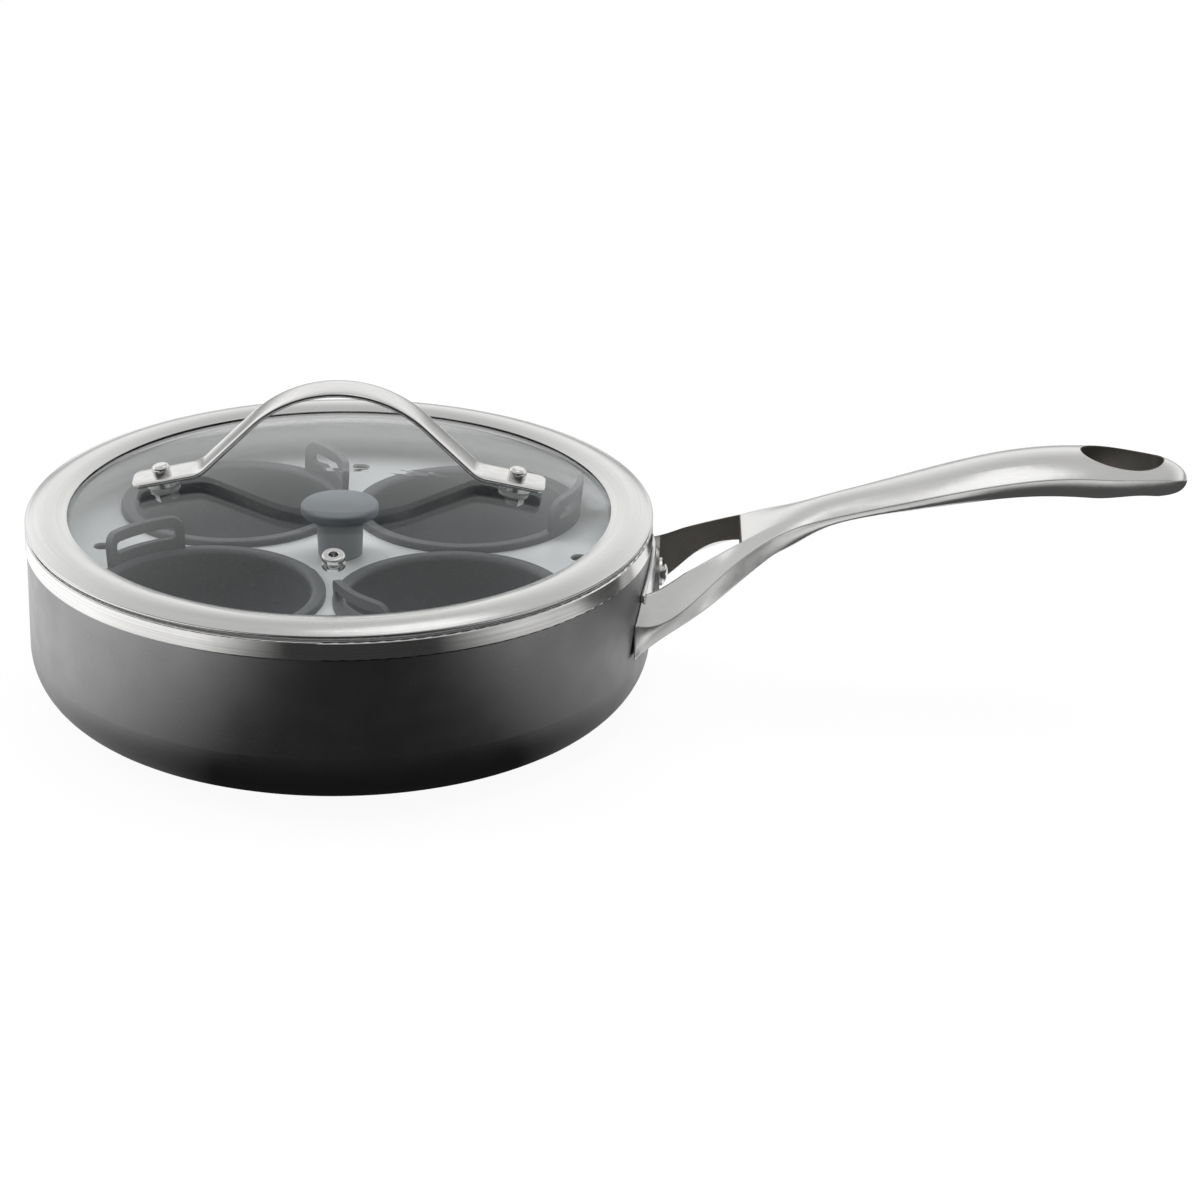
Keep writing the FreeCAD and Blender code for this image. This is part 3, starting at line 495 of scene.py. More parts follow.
@dataclass(frozen=True)
class Finish:
    """What every finish has: a name, a colour and a roughness."""

    name: str
    colour: Colour
    roughness: float

    def material(self) -> bpy.types.Material:
        """The finish as a material, made when first asked for."""
        found = bpy.data.materials.get(self.name)
        if found:
            return found
        material = bpy.data.materials.new(self.name)
        material.use_nodes = True
        board = NodeBoard(material.node_tree)
        shader = material.node_tree.nodes["Principled BSDF"]
        for name, value in self.draw(board, board.add("TexCoord").outputs["Object"]).items():
            board.feed(shader.inputs[name], value)
        board.feed(material.node_tree.nodes["Material Output"].inputs["Surface"], self.outcome(board, shader))
        return material

    def draw(self, board: NodeBoard, place: Socket) -> Inputs:
        """Wire the finish; each kind has its own.

        Args:
            board: the material's nodes.
            place: Object coordinates.

        Returns:
            What goes into the inputs of the Principled shader, by name.
        """
        raise NotImplementedError

    def outcome(self, board: NodeBoard, shader: Node) -> Socket:
        """What the material shows.

        Args:
            board: the material's nodes.
            shader: its Principled shader.

        Returns:
            The shader's own output, unless a finish mixes it with another.
        """
        return shader.outputs[0]

    def varied(self, board: NodeBoard, value: Socket, span: Span, change: float) -> Socket:
        """The finish's roughness, varied by a value.

        Args:
            board: the material's nodes.
            value: what it varies with.
            span: values at which it is smoothest and roughest.
            change: how far it goes to either side.

        Returns:
            The roughness.
        """
        return board.spread(value, *span, self.roughness - change, self.roughness + change)

    @staticmethod
    def emboss(board: NodeBoard, height: Socket, depth: float, edge: float = 0) -> Socket:
        """Raise the surface by a height and soften its edges, seen only in its shading.

        Args:
            board: the material's nodes.
            height: value from 0 to 1.
            depth: how much height 1 is, in metres.
            edge: radius of the softened edges, 0 for none.

        Returns:
            The normal.
        """
        bump = board.add("Bump")
        bump.inputs["Distance"].default_value = depth
        if edge:
            board.feed(bump.inputs["Normal"], board.add("Bevel", edge, samples=8).outputs[0])
        board.feed(bump.inputs["Height"], height)
        return bump.outputs[0]


@dataclass(frozen=True)
class Anodised(Finish):
    """Hard-anodised spun aluminium: dark, finely speckled, with faint turning marks and a turned base."""

    grain_colour: Colour = (0.40, 0.40, 0.405)
    grain_share: Span = (0.3, 0.6)
    grain_depth: float = 0.03 * MM
    grain_height: float = 0.7
    bare_colour: Colour = (0.55, 0.55, 0.55)
    wear_share: float = 0.25
    base_height: float = 0.4 * MM
    ring_share: Span = (0.1, 0.9)
    ring_height: Span = (0.3, 1.5)
    ring_gloss: float = 0.12
    smoother: float = 0.04
    rougher: float = 0.05

    def draw(self, board: NodeBoard, place: Socket) -> Inputs:
        """Grains lighten the colour; the flat base shows turned rings."""
        speckle = board.use(Speckle.group(), Place=place, Grains=2300, Cover=0.55)
        turned = board.use(RoundStreaks.group(), Place=place, Streaks=1500, Runs=2)
        wear = board.use(EdgeWear.group(), Place=place, Reach=0.5 * MM)
        under = board.spread(board.split(place)[2], self.base_height, 0)
        grain = board.times(speckle["Grain"], board.spread(speckle["Cloud"], 0, 1, *self.grain_share))
        coat = board.blend(grain, self.colour, self.grain_colour)
        ring = board.times(under, board.spread(turned["Streak"], 0, 1, *self.ring_share))
        bare = board.work("MAXIMUM", board.times(wear["Edge"], self.wear_share), ring)
        limits = (self.roughness - self.smoother, self.roughness + self.rougher)
        rough = board.spread(speckle["Cloud"], 0, 1, *limits)
        height = board.work("ADD", board.times(speckle["Height"], self.grain_height),
                            board.times(turned["Height"], board.spread(under, 0, 1, *self.ring_height)))
        return {
            "Base Color": board.blend(bare, coat, self.bare_colour),
            "Roughness": board.work("SUBTRACT", rough, board.times(ring, self.ring_gloss)),
            "Metallic": 1,
            "Normal": self.emboss(board, height, self.grain_depth),
        }


@dataclass(frozen=True)
class BrightSteel(Finish):
    """Polished or brushed steel with streaks in one direction, smears and bright edges."""

    lay: Lay = Lay.ROUND
    streaks: float = 1200
    runs: float = 2
    contrast: float = 0.1
    streak_depth: float = 0.006 * MM
    # painted shade: share of the colour left on faces that look down
    underside_shade_share: float = 1
    underside_shade_span: Span = (-0.2, -0.5)
    rough_shares: Span = (1.25, 0.8)
    dulling: float = 0.05

    def draw(self, board: NodeBoard, place: Socket) -> Inputs:
        """Streaks change colour, gloss and height a little; smears dull it, edges are brighter.

        Faces that look down can be darkened with painted shade.
        """
        effect = RoundStreaks if self.lay is Lay.ROUND else LongStreaks
        marks = board.use(effect.group(), Place=place, Streaks=self.streaks, Runs=self.runs)
        smear = board.use(HandMarks.group(), Place=place, Size=70)["Smear"]
        edge = board.use(EdgeWear.group(), Place=place, Reach=0.4 * MM)["Edge"]
        dark = shaded(self.colour, 1 - self.contrast)
        light = shaded(self.colour, 1 + self.contrast)
        streaked = board.blend(marks["Streak"], dark, light)
        bright = board.blend(edge, streaked, light)
        # painted shade: faces that look down are darkened, as if shaded from above
        if self.underside_shade_share < 1:
            normal = board.add("NewGeometry").outputs["Normal"]
            down = board.spread(board.split(normal)[2], *self.underside_shade_span)
            bright = board.blend(down, bright, shaded(self.colour, self.underside_shade_share))
        rough = board.spread(marks["Streak"], 0, 1, *(self.roughness * share for share in self.rough_shares))
        return {
            "Base Color": bright,
            "Roughness": board.work("ADD", rough, board.times(smear, self.dulling)),
            "Metallic": 1,
            "Normal": self.emboss(board, marks["Height"], self.streak_depth),
        }


@dataclass(frozen=True)
class CastSteel(Finish):
    """Satin cast steel: belted along the handle, left as cast in the fork and in the hanging hole, where a dark
    colour adds painted shade.
    """

    # painted shade: the dark colour of the as-cast faces in the hanging hole and the fork's gap
    cast_and_shade_colour: Colour = (0.20, 0.188, 0.172)
    grit_light: float = 1.15
    grit_depth: float = 0.02 * MM
    belt_dark: float = 0.97
    belt_gloss: float = 0.015
    dulling: float = 0.06
    cast_dulling: float = 0.3
    edge_round: float = 0.8 * MM
    hole_middle: float = 258.4 * MM
    hole_half: Span = (13.7 * MM, 9.5 * MM)
    hole_edge: Span = (1.05, 1.02)
    fork_end: float = 133 * MM
    fork_half: Span = (24.2 * MM, 12 * MM)
    wall: float = 103.6 * MM
    side_edge: Span = (0.25 * MM, 0.1 * MM)
    end_edge: Span = (133.4 * MM, 133.2 * MM)
    plate_edge: Span = (106.6 * MM, 106.8 * MM)

    def draw(self, board: NodeBoard, place: Socket) -> Inputs:
        """Belt marks and smears, and where no belt reaches the as-cast grit and roughness, with a dark colour
        that paints shade.
        """
        belt = board.use(LongStreaks.group(), Place=place, Streaks=1600, Runs=25)
        smear = board.use(HandMarks.group(), Place=place, Size=45)["Smear"]
        grit = board.use(Speckle.group(), Place=place, Grains=1500, Cover=0.6)
        # cast: mask of the as-cast faces, which also carry painted shade
        cast = self.as_cast_and_shaded(board, place)
        belted = board.blend(belt["Streak"], shaded(self.colour, self.belt_dark), self.colour)
        gritty_cast_and_shade = board.blend(grit["Grain"], self.cast_and_shade_colour, shaded(self.cast_and_shade_colour, self.grit_light))
        satin = board.work("ADD", self.varied(board, belt["Streak"], (1, 0), self.belt_gloss),
                           board.times(smear, self.dulling))
        return {
            "Base Color": board.blend(cast, belted, gritty_cast_and_shade),
            "Roughness": board.work("ADD", satin, board.times(cast, self.cast_dulling)),
            "Metallic": 1,
            "Normal": self.emboss(board, board.times(grit["Height"], cast), self.grit_depth, self.edge_round),
        }

    def as_cast_and_shaded(self, board: NodeBoard, place: Socket) -> Socket:
        """Mask of the hanging hole's wall, by its oval, and of the fork's inner faces, by the gap's sides: left
        as cast, and darkened there with painted shade.

        Args:
            board: the material's nodes.
            place: Object coordinates.

        Returns:
            1 on the wall and the faces and 0 elsewhere.
        """
        across, along = board.split(place)[:2]
        first = board.work("DIVIDE", board.work("SUBTRACT", across, self.hole_middle), self.hole_half[0])
        second = board.work("DIVIDE", along, self.hole_half[1])
        in_hole = board.spread(board.squared(first, second), *self.hole_edge)
        side = board.spread(across, self.wall, self.fork_end, *self.fork_half)
        off_side = board.work("SUBTRACT", board.work("ABSOLUTE", along), side)
        in_fork = board.times(board.spread(off_side, *self.side_edge), board.spread(across, *self.end_edge),
                              board.spread(across, *self.plate_edge))
        return board.work("MAXIMUM", in_hole, in_fork)


@dataclass(frozen=True)
class SheetSteel(Finish):
    """Satin sheet steel with a fine even grain."""

    dark_share: float = 0.9
    edge_colour: Colour = (0.88, 0.88, 0.88)
    rough_change: float = 0.05
    dulling: float = 0.07
    metal: float = 0.25
    grain_depth: float = 0.012 * MM

    def draw(self, board: NodeBoard, place: Socket) -> Inputs:
        """A fine grain changes colour and gloss; broad smears dull it."""
        grain = board.use(Speckle.group(), Place=place, Grains=3200, Cover=0.7)
        smear = board.use(HandMarks.group(), Place=place, Size=40)["Smear"]
        edge = board.use(EdgeWear.group(), Place=place, Reach=0.3 * MM)["Edge"]
        grained = board.blend(grain["Height"], shaded(self.colour, self.dark_share), self.colour)
        rough = self.varied(board, grain["Height"], NOISE_SPAN, self.rough_change)
        return {
            "Base Color": board.blend(edge, grained, self.edge_colour),
            "Roughness": board.work("ADD", rough, board.times(smear, self.dulling)),
            "Metallic": self.metal,
            "Normal": self.emboss(board, grain["Height"], self.grain_depth),
        }


@dataclass(frozen=True)
class SpeckledCoat(Finish):
    """Non-stick coat with pale grains, thin on the edges."""

    grain_colour: Colour = (0.22, 0.22, 0.225)
    grain_share: Span = (0.25, 0.8)
    grain_depth: float = 0.05 * MM
    edge_colour: Colour = (0.33, 0.335, 0.34)
    wear_share: float = 0.35
    rough_change: float = 0.05
    shine: float = 0.45

    def draw(self, board: NodeBoard, place: Socket) -> Inputs:
        """Pale grains in the coat, a lighter wear along the edges and a slightly pebbled surface."""
        speckle = board.use(Speckle.group(), Place=place, Grains=1900, Cover=0.5)
        edge = board.use(EdgeWear.group(), Place=place, Reach=0.5 * MM)["Edge"]
        grain = board.times(speckle["Grain"], board.spread(speckle["Cloud"], 0, 1, *self.grain_share))
        coat = board.blend(grain, self.colour, self.grain_colour)
        return {
            "Base Color": board.blend(board.times(edge, self.wear_share), coat, self.edge_colour),
            "Roughness": self.varied(board, speckle["Cloud"], (0, 1), self.rough_change),
            "Specular IOR Level": self.shine,
            "Normal": self.emboss(board, speckle["Height"], self.grain_depth),
        }


@dataclass(frozen=True)
class MouldedPlastic(Finish):
    """Matte moulded plastic or silicone with a fine spark-eroded grain."""

    grain_depth: float = 0.03 * MM
    light_share: float = 1.15
    rough_change: float = 0.06

    def draw(self, board: NodeBoard, place: Socket) -> Inputs:
        """Faint clouds of colour over a fine grain."""
        grain = board.use(Speckle.group(), Place=place, Grains=2600, Cover=0.6)
        light = shaded(self.colour, self.light_share)
        return {
            "Base Color": board.blend(grain["Cloud"], self.colour, light),
            "Roughness": self.varied(board, grain["Height"], NOISE_SPAN, self.rough_change),
            "Normal": self.emboss(board, grain["Height"], self.grain_depth),
        }


@dataclass(frozen=True)
class ClearGlass(Finish):
    """Tempered glass with the faint ripple of its rollers; lamps shine through it."""

    ripple: float = 0.02 * MM
    ripples: float = 22
    bending: float = 1.5

    def draw(self, board: NodeBoard, place: Socket) -> Inputs:
        """A broad soft noise ripples the gloss."""
        return {
            "Base Color": (*self.colour, 1),
            "Roughness": self.roughness,
            "Transmission Weight": 1,
            "IOR": self.bending,
            "Normal": self.emboss(board, board.noise(place, self.ripples, detail=1), self.ripple),
        }

    def outcome(self, board: NodeBoard, shader: Node) -> Socket:
        """The shader, but rays from lamps pass straight through."""
        clear = board.add("BsdfTransparent", (*self.colour, 1))
        return board.choose(board.add("LightPath").outputs["Is Shadow Ray"], shader, clear).outputs[0]


ANODISED = Anodised("hard-anodised coat", (0.28, 0.28, 0.285), 0.36)
BAND_STEEL = BrightSteel("turned band steel", (0.76, 0.755, 0.745), 0.16, contrast=0.1, streaks=1600, runs=1.5)
RIM_STEEL = BrightSteel("rolled rim steel", (0.77, 0.768, 0.76), 0.2, contrast=0.015, streaks=2400, runs=1.5,
                        streak_depth=0.001 * MM)
# the strap's underside is darkened with painted shade
STRAP_STEEL = BrightSteel("polished strap steel", (0.76, 0.755, 0.745), 0.14, lay=Lay.ALONG, contrast=0.05,
                          underside_shade_share=0.2)
FIXING_STEEL = BrightSteel("polished fixing steel", (0.78, 0.775, 0.765), 0.10, contrast=0.06, streaks=2000)
HANDLE_STEEL = CastSteel("satin cast steel", (0.80, 0.795, 0.785), 0.21)
TRAY_STEEL = SheetSteel("satin sheet steel", (0.82, 0.825, 0.83), 0.42)
CUP_COAT = SpeckledCoat("speckled cup coat", (0.085, 0.088, 0.092), 0.46)
KNOB_PLASTIC = MouldedPlastic("matte knob plastic", (0.20, 0.215, 0.23), 0.55)
SEAL_SILICONE = MouldedPlastic("pale silicone", (0.62, 0.62, 0.60), 0.5, 0.01 * MM)
LID_GLASS = ClearGlass("tempered glass", (0.965, 0.98, 0.98), 0.0)


def dress(finish: Finish, *nodes: str) -> None:
    """Give CAD nodes a finish.

    Args:
        finish: the finish.
        nodes: names of the nodes.
    """
    for node in nodes:
        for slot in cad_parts[node].material_slots:
            slot.material = finish.material()
        LOG.info("%s: %s", node, finish.name)


def settle(piece: bpy.types.Object, finish: Finish, body: Body, node: str) -> None:
    """Put a new piece in the place of a CAD node.

    Args:
        piece: the new piece, with its place in its mesh.
        finish: its finish.
        body: what it moves with.
        node: the node that it stands for.
    """
    piece.data.materials.append(finish.material())
    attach(piece, body.value)
    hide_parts(node)
    LOG.info("%s stands for %s: %s", piece.name, node, finish.name)


# Sub-assemblies

@dataclass
class Pan:
    """Spun pan with its band, cast handle and rivets."""

    rivets: tuple[str, ...] = ("handle_rivet_lower", "handle_rivet_upper")

    def dress(self) -> None:
        """Finish the nodes of the pan."""
        dress(ANODISED, "pan_body")
        dress(BAND_STEEL, "rim_band")
        dress(HANDLE_STEEL, "pan_handle")
        dress(FIXING_STEEL, *self.rivets)


@dataclass
class Tray:
    """Hanging tray with its knob, and the four cups in it."""

    fixings: tuple[str, ...] = ("knob_washer", "knob_screw")
    cups: tuple[str, ...] = (
        "egg_cup_back_right", "egg_cup_back_left", "egg_cup_front_left", "egg_cup_front_right")

    def dress(self) -> None:
        """Finish the nodes of the tray and the cups."""
        dress(TRAY_STEEL, "egg_tray")
        dress(KNOB_PLASTIC, "tray_knob")
        dress(FIXING_STEEL, *self.fixings)
        dress(CUP_COAT, *self.cups)


@dataclass
class Dome:
    """The lid's dome, on which its pieces stand."""

    bend: float = 285 * MM
    top: float = 77.884 * MM
    thickness: float = 3.6 * MM

    def height(self, reach: np.ndarray, depth: float = 0) -> np.ndarray:
        """Height of the dome, or of the sphere a depth below it, at a distance from the axis.

        Args:
            reach: distance from the axis.
            depth: how far below the outer surface.

        Returns:
            Height above the base.
        """
        return self.top - self.bend + np.sqrt((self.bend - depth) ** 2 - reach ** 2)


@dataclass
class LidRim:
    """Rolled steel rim round the glass."""

    dome: Dome
    radius: float = 104 * MM
    width: float = 14 * MM
    sheet: float = 0.8 * MM
    lip_sheet: float = 0.45 * MM
    gap: float = 0.15 * MM
    seat: float = 61.5 * MM
    edge: float = 1.5 * MM
    bow: float = 1.5 * MM
    skirt: float = 97.8 * MM
    groove: float = 96.15 * MM
    hold: float = 92 * MM
    corner: float = 0.12 * MM
    corner_steps: int = 4
    top_steps: int = 25
    roll_steps: int = 9
    steps: int = 288

    def outline(self) -> np.ndarray:
        """Section of the rim: a bowed top, a rolled outer edge, a seat, a skirt and a lip under the glass.

        The top is a straight slope plus a parabola that is highest half way across it.
        """
        lip = self.radius - self.width
        lip_top = self.dome.height(lip) + self.gap + self.lip_sheet
        curl_radius = self.lip_sheet / 2
        share = np.linspace(0, 1, self.top_steps)
        roll = self.edge / 2
        across = lip + curl_radius + share * (self.width - curl_radius - roll)
        slope = lip_top + share * (self.seat + self.edge - lip_top)
        top = np.stack([across, slope + 4 * self.bow * share * (1 - share)], axis=1)
        turn = np.linspace(math.pi / 2, -math.pi / 2, self.roll_steps)
        outer = np.stack([self.radius - roll + roll * np.cos(turn),
                          self.seat + roll + roll * np.sin(turn)], axis=1)
        under = self.gap + self.sheet + self.dome.thickness
        inner = self.gap + self.dome.thickness
        inside = np.array([
            (self.skirt, self.seat),
            (self.skirt, self.dome.height(self.skirt, under)),
            (self.hold, self.dome.height(self.hold, under)),
            (self.hold, self.dome.height(self.hold, inner)),
            (self.groove, self.dome.height(self.groove, inner)),
            (self.groove, self.dome.height(self.groove) + self.gap),
        ])
        inside = rounded_corners(inside, np.full(len(inside), self.corner), self.corner_steps)
        curl = -turn
        inner_lip = np.stack([lip + curl_radius - curl_radius * np.cos(curl),
                              lip_top - curl_radius + curl_radius * np.sin(curl)], axis=1)
        return np.concatenate([top, outer[1:], inside, inner_lip[:-1]])

    def build(self) -> None:
        """Make the rim and put it in place of its node."""
        points = turned_surface(self.outline(), self.steps)
        piece = grid_object("rolled_rim", points, ends=False, sharp_from=40)
        settle(piece, RIM_STEEL, Body.LID, "lid_rim")


@dataclass
class LidStrap:
    """Flat strap bent into a bell, narrower over its top, with rounded ends."""

    dome: Dome
    screw_reach: float = 58 * MM
    spacer: float = 1.7 * MM
    thickness: float = 2 * MM
    foot_width: float = 13.8 * MM
    top_width: float = 13.2 * MM
    crown: float = 0.25 * MM
    tab: float = 9.6 * MM
    rise: float = 28 * MM
    top_bend: float = 40.8 * MM
    foot_bend: float = 9 * MM
    riser_tilt: float = math.radians(44.5)
    end_round: float = 2.5 * MM
    end_share: float = 0.85
    squareness: float = 7
    bend_steps: int = 40
    rows: int = 420
    columns: int = 48

    def path(self) -> np.ndarray:
        """Middle line of the strap in the XZ plane: two feet along the dome, two risers, and bends between."""
        tilt = math.asin(self.screw_reach / self.dome.bend)
        lift = self.spacer + self.thickness / 2
        screw_x = self.screw_reach + lift * math.sin(tilt)
        screw_z = float(self.dome.height(np.float64(self.screw_reach))) + lift * math.cos(tilt)
        end = (screw_x + self.tab * math.cos(tilt), screw_z - self.tab * math.sin(tilt))
        peak = self.dome.top + self.rise + self.top_bend * (1 / math.cos(self.riser_tilt) - 1)
        drop = peak - screw_z - screw_x * math.tan(tilt)
        foot_x = drop / (math.tan(self.riser_tilt) - math.tan(tilt))
        foot_z = peak - foot_x * math.tan(self.riser_tilt)
        corners = np.array([(-end[0], end[1]), (-foot_x, foot_z), (0, peak), (foot_x, foot_z), end])
        bends = np.array([0, self.foot_bend, self.top_bend, self.foot_bend, 0])
        line = rounded_corners(corners, bends, self.bend_steps)
        return evenly_spaced(line[self.bend_steps - 1:-self.bend_steps + 1], self.rows)

    def surface(self) -> np.ndarray:
        """Section carried along the path.

        The section is a flat rounded bar, |u|^n + |v|^n = 1, with u across and v through the strap, and its
        upper side falls off to its edges on a parabola. Its width eases from foot to top, and shrinks at the
        ends on most of a quarter circle.
        """
        path = self.path()
        step = np.gradient(path, axis=0)
        step /= np.linalg.norm(step, axis=1, keepdims=True)
        off = np.stack([-step[:, 1], step[:, 0]], axis=1)
        length = np.concatenate([[0], np.cumsum(np.linalg.norm(np.diff(path, axis=0), axis=1))])
        from_end = np.minimum(length, length[-1] - length)
        share = np.clip(from_end / from_end.max(), 0, 1)
        ease = share ** 2 * (3 - 2 * share)
        half = (self.foot_width + (self.top_width - self.foot_width) * ease) / 2
        short = np.clip(1 - from_end / self.end_round, 0, 1)
        half = half - self.end_round * (1 - np.sqrt(1 - short ** 2)) * self.end_share
        turn = np.linspace(0, FULL_TURN, self.columns, endpoint=False)
        across = np.sign(np.cos(turn)) * np.abs(np.cos(turn)) ** (2 / self.squareness)
        through = np.sign(np.sin(turn)) * np.abs(np.sin(turn)) ** (2 / self.squareness)
        up = through * self.thickness / 2 - self.crown * across ** 2 * (through > 0)
        return np.stack([
            path[:, :1] + off[:, :1] * up,
            half[:, None] * across,
            path[:, 1:] + off[:, 1:] * up,
        ], axis=-1)

    def build(self) -> None:
        """Make the strap and put it in place of its node."""
        piece = grid_object("bell_strap", self.surface(), ends=True, sharp_from=50)
        settle(piece, STRAP_STEEL, Body.LID, "lid_handle")


@dataclass
class Lid:
    """Glass lid with its rim, strap, fixings and vent."""

    dome: Dome = field(default_factory=Dome)
    sides: tuple[str, ...] = ("right", "left")

    def build(self) -> None:
        """Make the rim and the strap."""
        LidRim(self.dome).build()
        LidStrap(self.dome).build()

    def dress(self) -> None:
        """Finish the nodes of the lid."""
        dress(LID_GLASS, "lid_glass")
        for side in self.sides:
            dress(FIXING_STEEL, "lid_screw_" + side, "lid_washer_" + side, "lid_nut_" + side)
            dress(SEAL_SILICONE, "lid_seal_" + side)
        dress(FIXING_STEEL, "vent_eyelet", "vent_collar")


# Studio

@dataclass(frozen=True)
class Softbox:
    """A broad lamp that faces a point of the object."""

    name: str
    place: Point
    width: float
    height: float
    power: float
    mirrored: bool

    def build(self, aim: Vector) -> None:
        """Hang the lamp, with or without its own mirror image in gloss.

        Args:
            aim: the point that it faces.
        """
        lamp = bpy.data.lights.new(self.name, "AREA")
        lamp.shape = "RECTANGLE"
        lamp.size = self.width
        lamp.size_y = self.height
        lamp.energy = self.power
        thing = bpy.data.objects.new(self.name, lamp)
        thing.location = self.place
        thing.rotation_euler = (aim - Vector(self.place)).to_track_quat("-Z", "Y").to_euler()
        thing.visible_glossy = self.mirrored
        thing.visible_transmission = False
        bpy.context.scene.collection.objects.link(thing)


@dataclass
class Studio:
    """Pale floor, soft light and the camera of the photograph.

    Gloss sees a white room with a shaded front: the floor darkens in a wedge in front of the object, and the
    walls darken upwards and behind the camera. Clear glass mirrors the room at a lower level, as through a
    filter. Each span holds the two ends of a change in brightness.
    """

    camera_place: Point = (0.08666, -1.38363, 0.62529)
    camera_pitch: float = math.radians(23.23)
    camera_roll: float = math.radians(0.63)
    lens: float = 135
    floor_half: float = 4
    aim: Point = (0.05, 0, 0.05)
    shadow_share: float = 0.06
    shade_middle: float = math.radians(9)
    far_shade: Span = (math.radians(22), math.radians(46))
    near_shade: Span = (math.radians(32), math.radians(84))
    near_end: Span = (0.21, 0.235)
    shade_level: float = 0.04
    # painted shade on the floor close behind the pan
    behind_turn: Span = (math.radians(122), math.radians(145))
    behind_reach: Span = (0.2, 0.3)
    behind_shade_level: float = 0.25
    # painted shadow of the handle's grip on the floor
    grip_middle: float = 0.04
    grip_sides: Span = (0.1, 0.2)
    grip_skew: float = 0.8
    grip_start: Span = (0.192, 0.17)
    grip_back: Span = (0.05, 0.07)
    tip_start: Span = (0.228, 0.213)
    grip_shadow_level: float = 0.08
    # painted shade on the floor close round the pan's foot
    foot_reach: Span = (0.1, 0.15)
    foot_shade_level: float = 0.5
    floor_left: Span = (-0.08, -0.14)
    world_left: Span = (-0.2, -0.7)
    left_level: float = 1.25
    floor_horizon: Span = (0.5, 1.2)
    world_horizon: Span = (0, 0.2)
    horizon_level: float = 0.3
    ceiling: Span = (0.35, 0.75)
    ceiling_level: float = 0.58
    front: Span = (-0.5, 0.35)
    front_top: Span = (0.3, 0.75)
    front_level: float = 0.06
    white_below: Span = (0.2, 0.1)
    floor_colour: Colour = (0.8, 0.8, 0.8)
    inner_bounces: float = 2.5
    glass_level: float = 0.6
    world_level: float = 0.45
    softboxes: tuple[Softbox, ...] = (
        Softbox("left softbox", (-1.2, 0.35, 0.75), 0.9, 0.9, 16, False),
        Softbox("top softbox", (0.15, 0.35, 1.5), 1.3, 1.0, 22, False),
        Softbox("right softbox", (1.25, 0.7, 0.6), 0.4, 0.9, 7, False),
        Softbox("handle softbox", (0.12, 0.07, 0.6), 0.26, 0.26, 0.135, True),
    )

    def build(self) -> None:
        """Set up the floor, the light and the camera."""
        self.make_floor()
        for softbox in self.softboxes:
            softbox.build(Vector(self.aim))
        self.make_room()
        self.place_camera()
        bpy.context.scene.view_settings.view_transform = "Standard"

    def make_floor(self) -> None:
        """Lay a square floor at height 0, white to the camera apart from a share that keeps the shadow."""
        mesh = bpy.data.meshes.new("floor")
        half = self.floor_half
        corners = [(-half, -half, 0), (half, -half, 0), (half, half, 0), (-half, half, 0)]
        mesh.from_pydata(corners, [], [(0, 1, 2, 3)])
        floor = bpy.data.objects.new("floor", mesh)
        bpy.context.scene.collection.objects.link(floor)
        mesh.materials.append(self.floor_material())

    def floor_material(self) -> bpy.types.Material:
        """Pale matt floor, nearly white to the camera and through glass, and shaded in front to gloss."""
        material = bpy.data.materials.new("pale floor")
        material.use_nodes = True
        board = NodeBoard(material.node_tree)
        path = board.add("LightPath")
        matt = board.add("BsdfDiffuse", (*self.floor_colour, 1))
        white = board.add("Emission")
        room = board.add("Emission")
        board.feed(room.inputs["Strength"], self.dimmed(board, path, self.floor_level(board)))
        seen = board.work("MAXIMUM", path.outputs["Is Camera Ray"], path.outputs["Is Transmission Ray"])
        shown = board.choose(board.times(seen, 1 - self.shadow_share), matt, white)
        mirrored = board.times(path.outputs["Is Glossy Ray"], board.work("SUBTRACT", 1, seen))
        whole = board.choose(mirrored, shown, room)
        board.feed(material.node_tree.nodes["Material Output"].inputs["Surface"], whole.outputs[0])
        return material

    def floor_level(self, board: NodeBoard) -> Socket:
        """Brightness of the floor to satin metal.

        It carries painted shade in a wedge in front of the pan, which is wider close to the pan, a painted
        shadow under the handle's grip, painted shade close to the pan and close behind it, dimming far away,
        and painted light on its left.

        Args:
            board: the floor's nodes.

        Returns:
            The brightness.
        """
        across, along = board.split(board.add("TexCoord").outputs["Object"])[:2]
        turn = board.work("ARCTAN2", across, board.times(along, -1))
        off_middle = board.work("ABSOLUTE", board.work("SUBTRACT", turn, self.shade_middle))
        reach = board.work("SQRT", board.squared(across, along))
        # painted shade: a dark wedge in front of the pan
        near = board.spread(off_middle, *self.near_shade, self.shade_level, 1)
        far = board.spread(off_middle, *self.far_shade, self.shade_level, 1)
        apart = board.times(board.work("SUBTRACT", far, near), board.spread(reach, *self.near_end))
        wedge = board.work("ADD", near, apart)
        # painted shadow of the handle's grip on the floor
        aside = board.work("ABSOLUTE", board.work("SUBTRACT", along, self.grip_middle))
        beside = board.spread(aside, *self.grip_sides)
        skew = board.work("ADD", across, board.times(along, self.grip_skew))
        past_fork = board.work("MAXIMUM", board.spread(skew, *self.grip_start),
                               board.spread(along, *self.grip_back))
        short = board.work("MINIMUM", board.spread(across, *self.tip_start), past_fork)
        grip = board.spread(board.work("MAXIMUM", beside, short), 0, 1, self.grip_shadow_level, 1)
        # painted light: the floor is brighter to its left
        left = board.spread(across, *self.floor_left, 1, self.left_level)
        # painted shade close round the pan's foot; far away the floor dims
        close = board.times(board.spread(reach, *self.foot_reach, self.foot_shade_level, 1),
                            board.spread(reach, *self.floor_horizon, 1, self.horizon_level))
        # painted shade close behind the pan
        behind = board.spread(board.work("ABSOLUTE", turn), *self.behind_turn)
        behind = board.times(behind, board.spread(reach, *self.behind_reach, 1, 0))
        close = board.times(close, board.spread(behind, 0, 1, 1, self.behind_shade_level))
        return board.times(wedge, grip, left, close)

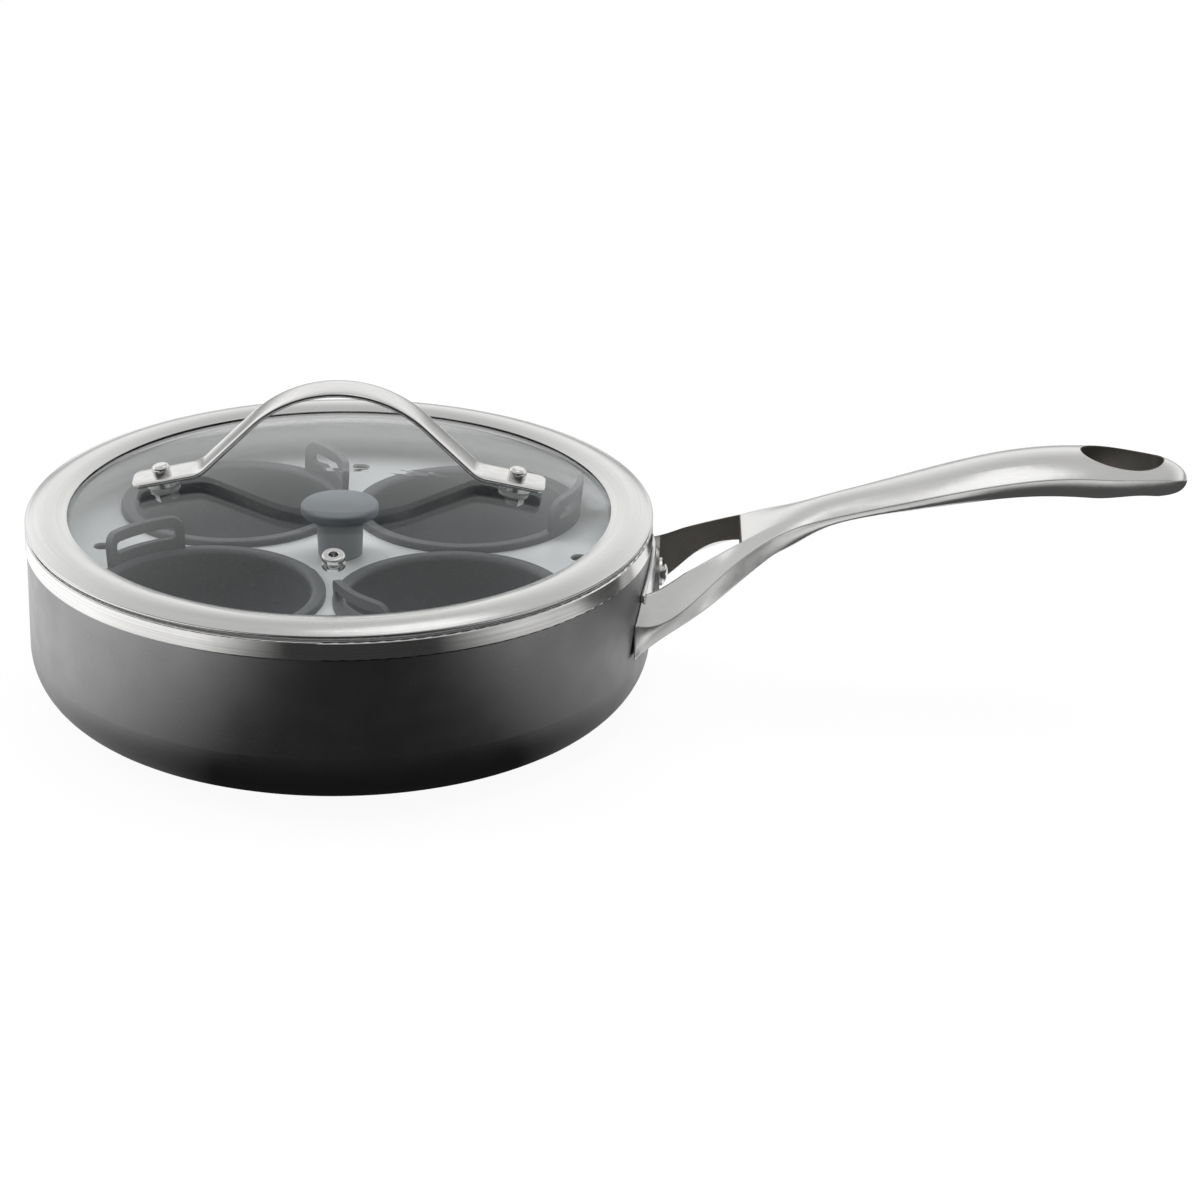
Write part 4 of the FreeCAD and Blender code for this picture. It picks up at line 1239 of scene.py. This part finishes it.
    def dimmed(self, board: NodeBoard, path: Node, level: Socket) -> Socket:
        """A level of the room, lower where clear glass mirrors it.

        Args:
            board: the nodes.
            path: their Light Path node.
            level: brightness that satin metal mirrors.

        Returns:
            The brightness.
        """
        outside = board.work("LESS_THAN", path.outputs["Transmission Depth"], self.inner_bounces)
        clear = board.times(path.outputs["Is Singular Ray"], outside)
        return board.times(level, board.spread(clear, 0, 1, 1, self.glass_level))

    def make_room(self) -> None:
        """A world that is white where it is seen, and to gloss darker upwards and behind the camera."""
        world = bpy.data.worlds.new("studio")
        bpy.context.scene.world = world
        world.use_nodes = True
        board = NodeBoard(world.node_tree)
        plain = world.node_tree.nodes["Background"]
        plain.inputs[1].default_value = self.world_level
        across, along, up = board.split(board.add("TexCoord").outputs["Generated"])
        climb = board.times(board.spread(up, *self.ceiling, 1, self.ceiling_level),
                            board.spread(up, *self.world_horizon, self.horizon_level, 1))
        front = board.work("MAXIMUM", board.spread(along, *self.front, self.front_level, 1),
                           board.spread(up, *self.front_top))
        left = board.spread(across, *self.world_left, 1, self.left_level)
        level = board.times(climb, front, left)
        path = board.add("LightPath")
        room = board.add("Background")
        board.feed(room.inputs["Strength"], self.dimmed(board, path, level))
        white = board.add("Background")
        for lit in (plain, room, white):
            lit.inputs["Color"].default_value = (1, 1, 1, 1)
        through = path.outputs["Is Transmission Ray"]
        straight = board.times(through, board.spread(up, *self.white_below))
        seen = board.work("MAXIMUM", path.outputs["Is Camera Ray"], straight)
        gloss = board.work("MAXIMUM", path.outputs["Is Glossy Ray"], through)
        whole = board.choose(seen, board.choose(gloss, plain, room), white)
        board.feed(world.node_tree.nodes["World Output"].inputs["Surface"], whole.outputs[0])

    def place_camera(self) -> None:
        """Stand the camera where the photograph was taken from."""
        lens = bpy.data.cameras.new("camera")
        lens.lens = self.lens
        camera = bpy.data.objects.new("camera", lens)
        pitch = Matrix.Rotation(math.pi / 2 - self.camera_pitch, 4, "X")
        roll = Matrix.Rotation(self.camera_roll, 4, "Z")
        camera.matrix_world = Matrix.Translation(self.camera_place) @ pitch @ roll
        bpy.context.scene.collection.objects.link(camera)
        bpy.context.scene.camera = camera


def main() -> None:
    """Build and dress the sub-assemblies in order, then the studio."""
    logging.basicConfig(level=logging.INFO, format="%(message)s")
    Pan().dress()
    Tray().dress()
    lid = Lid()
    lid.build()
    lid.dress()
    Studio().build()


if __name__ == "__main__":
    main()
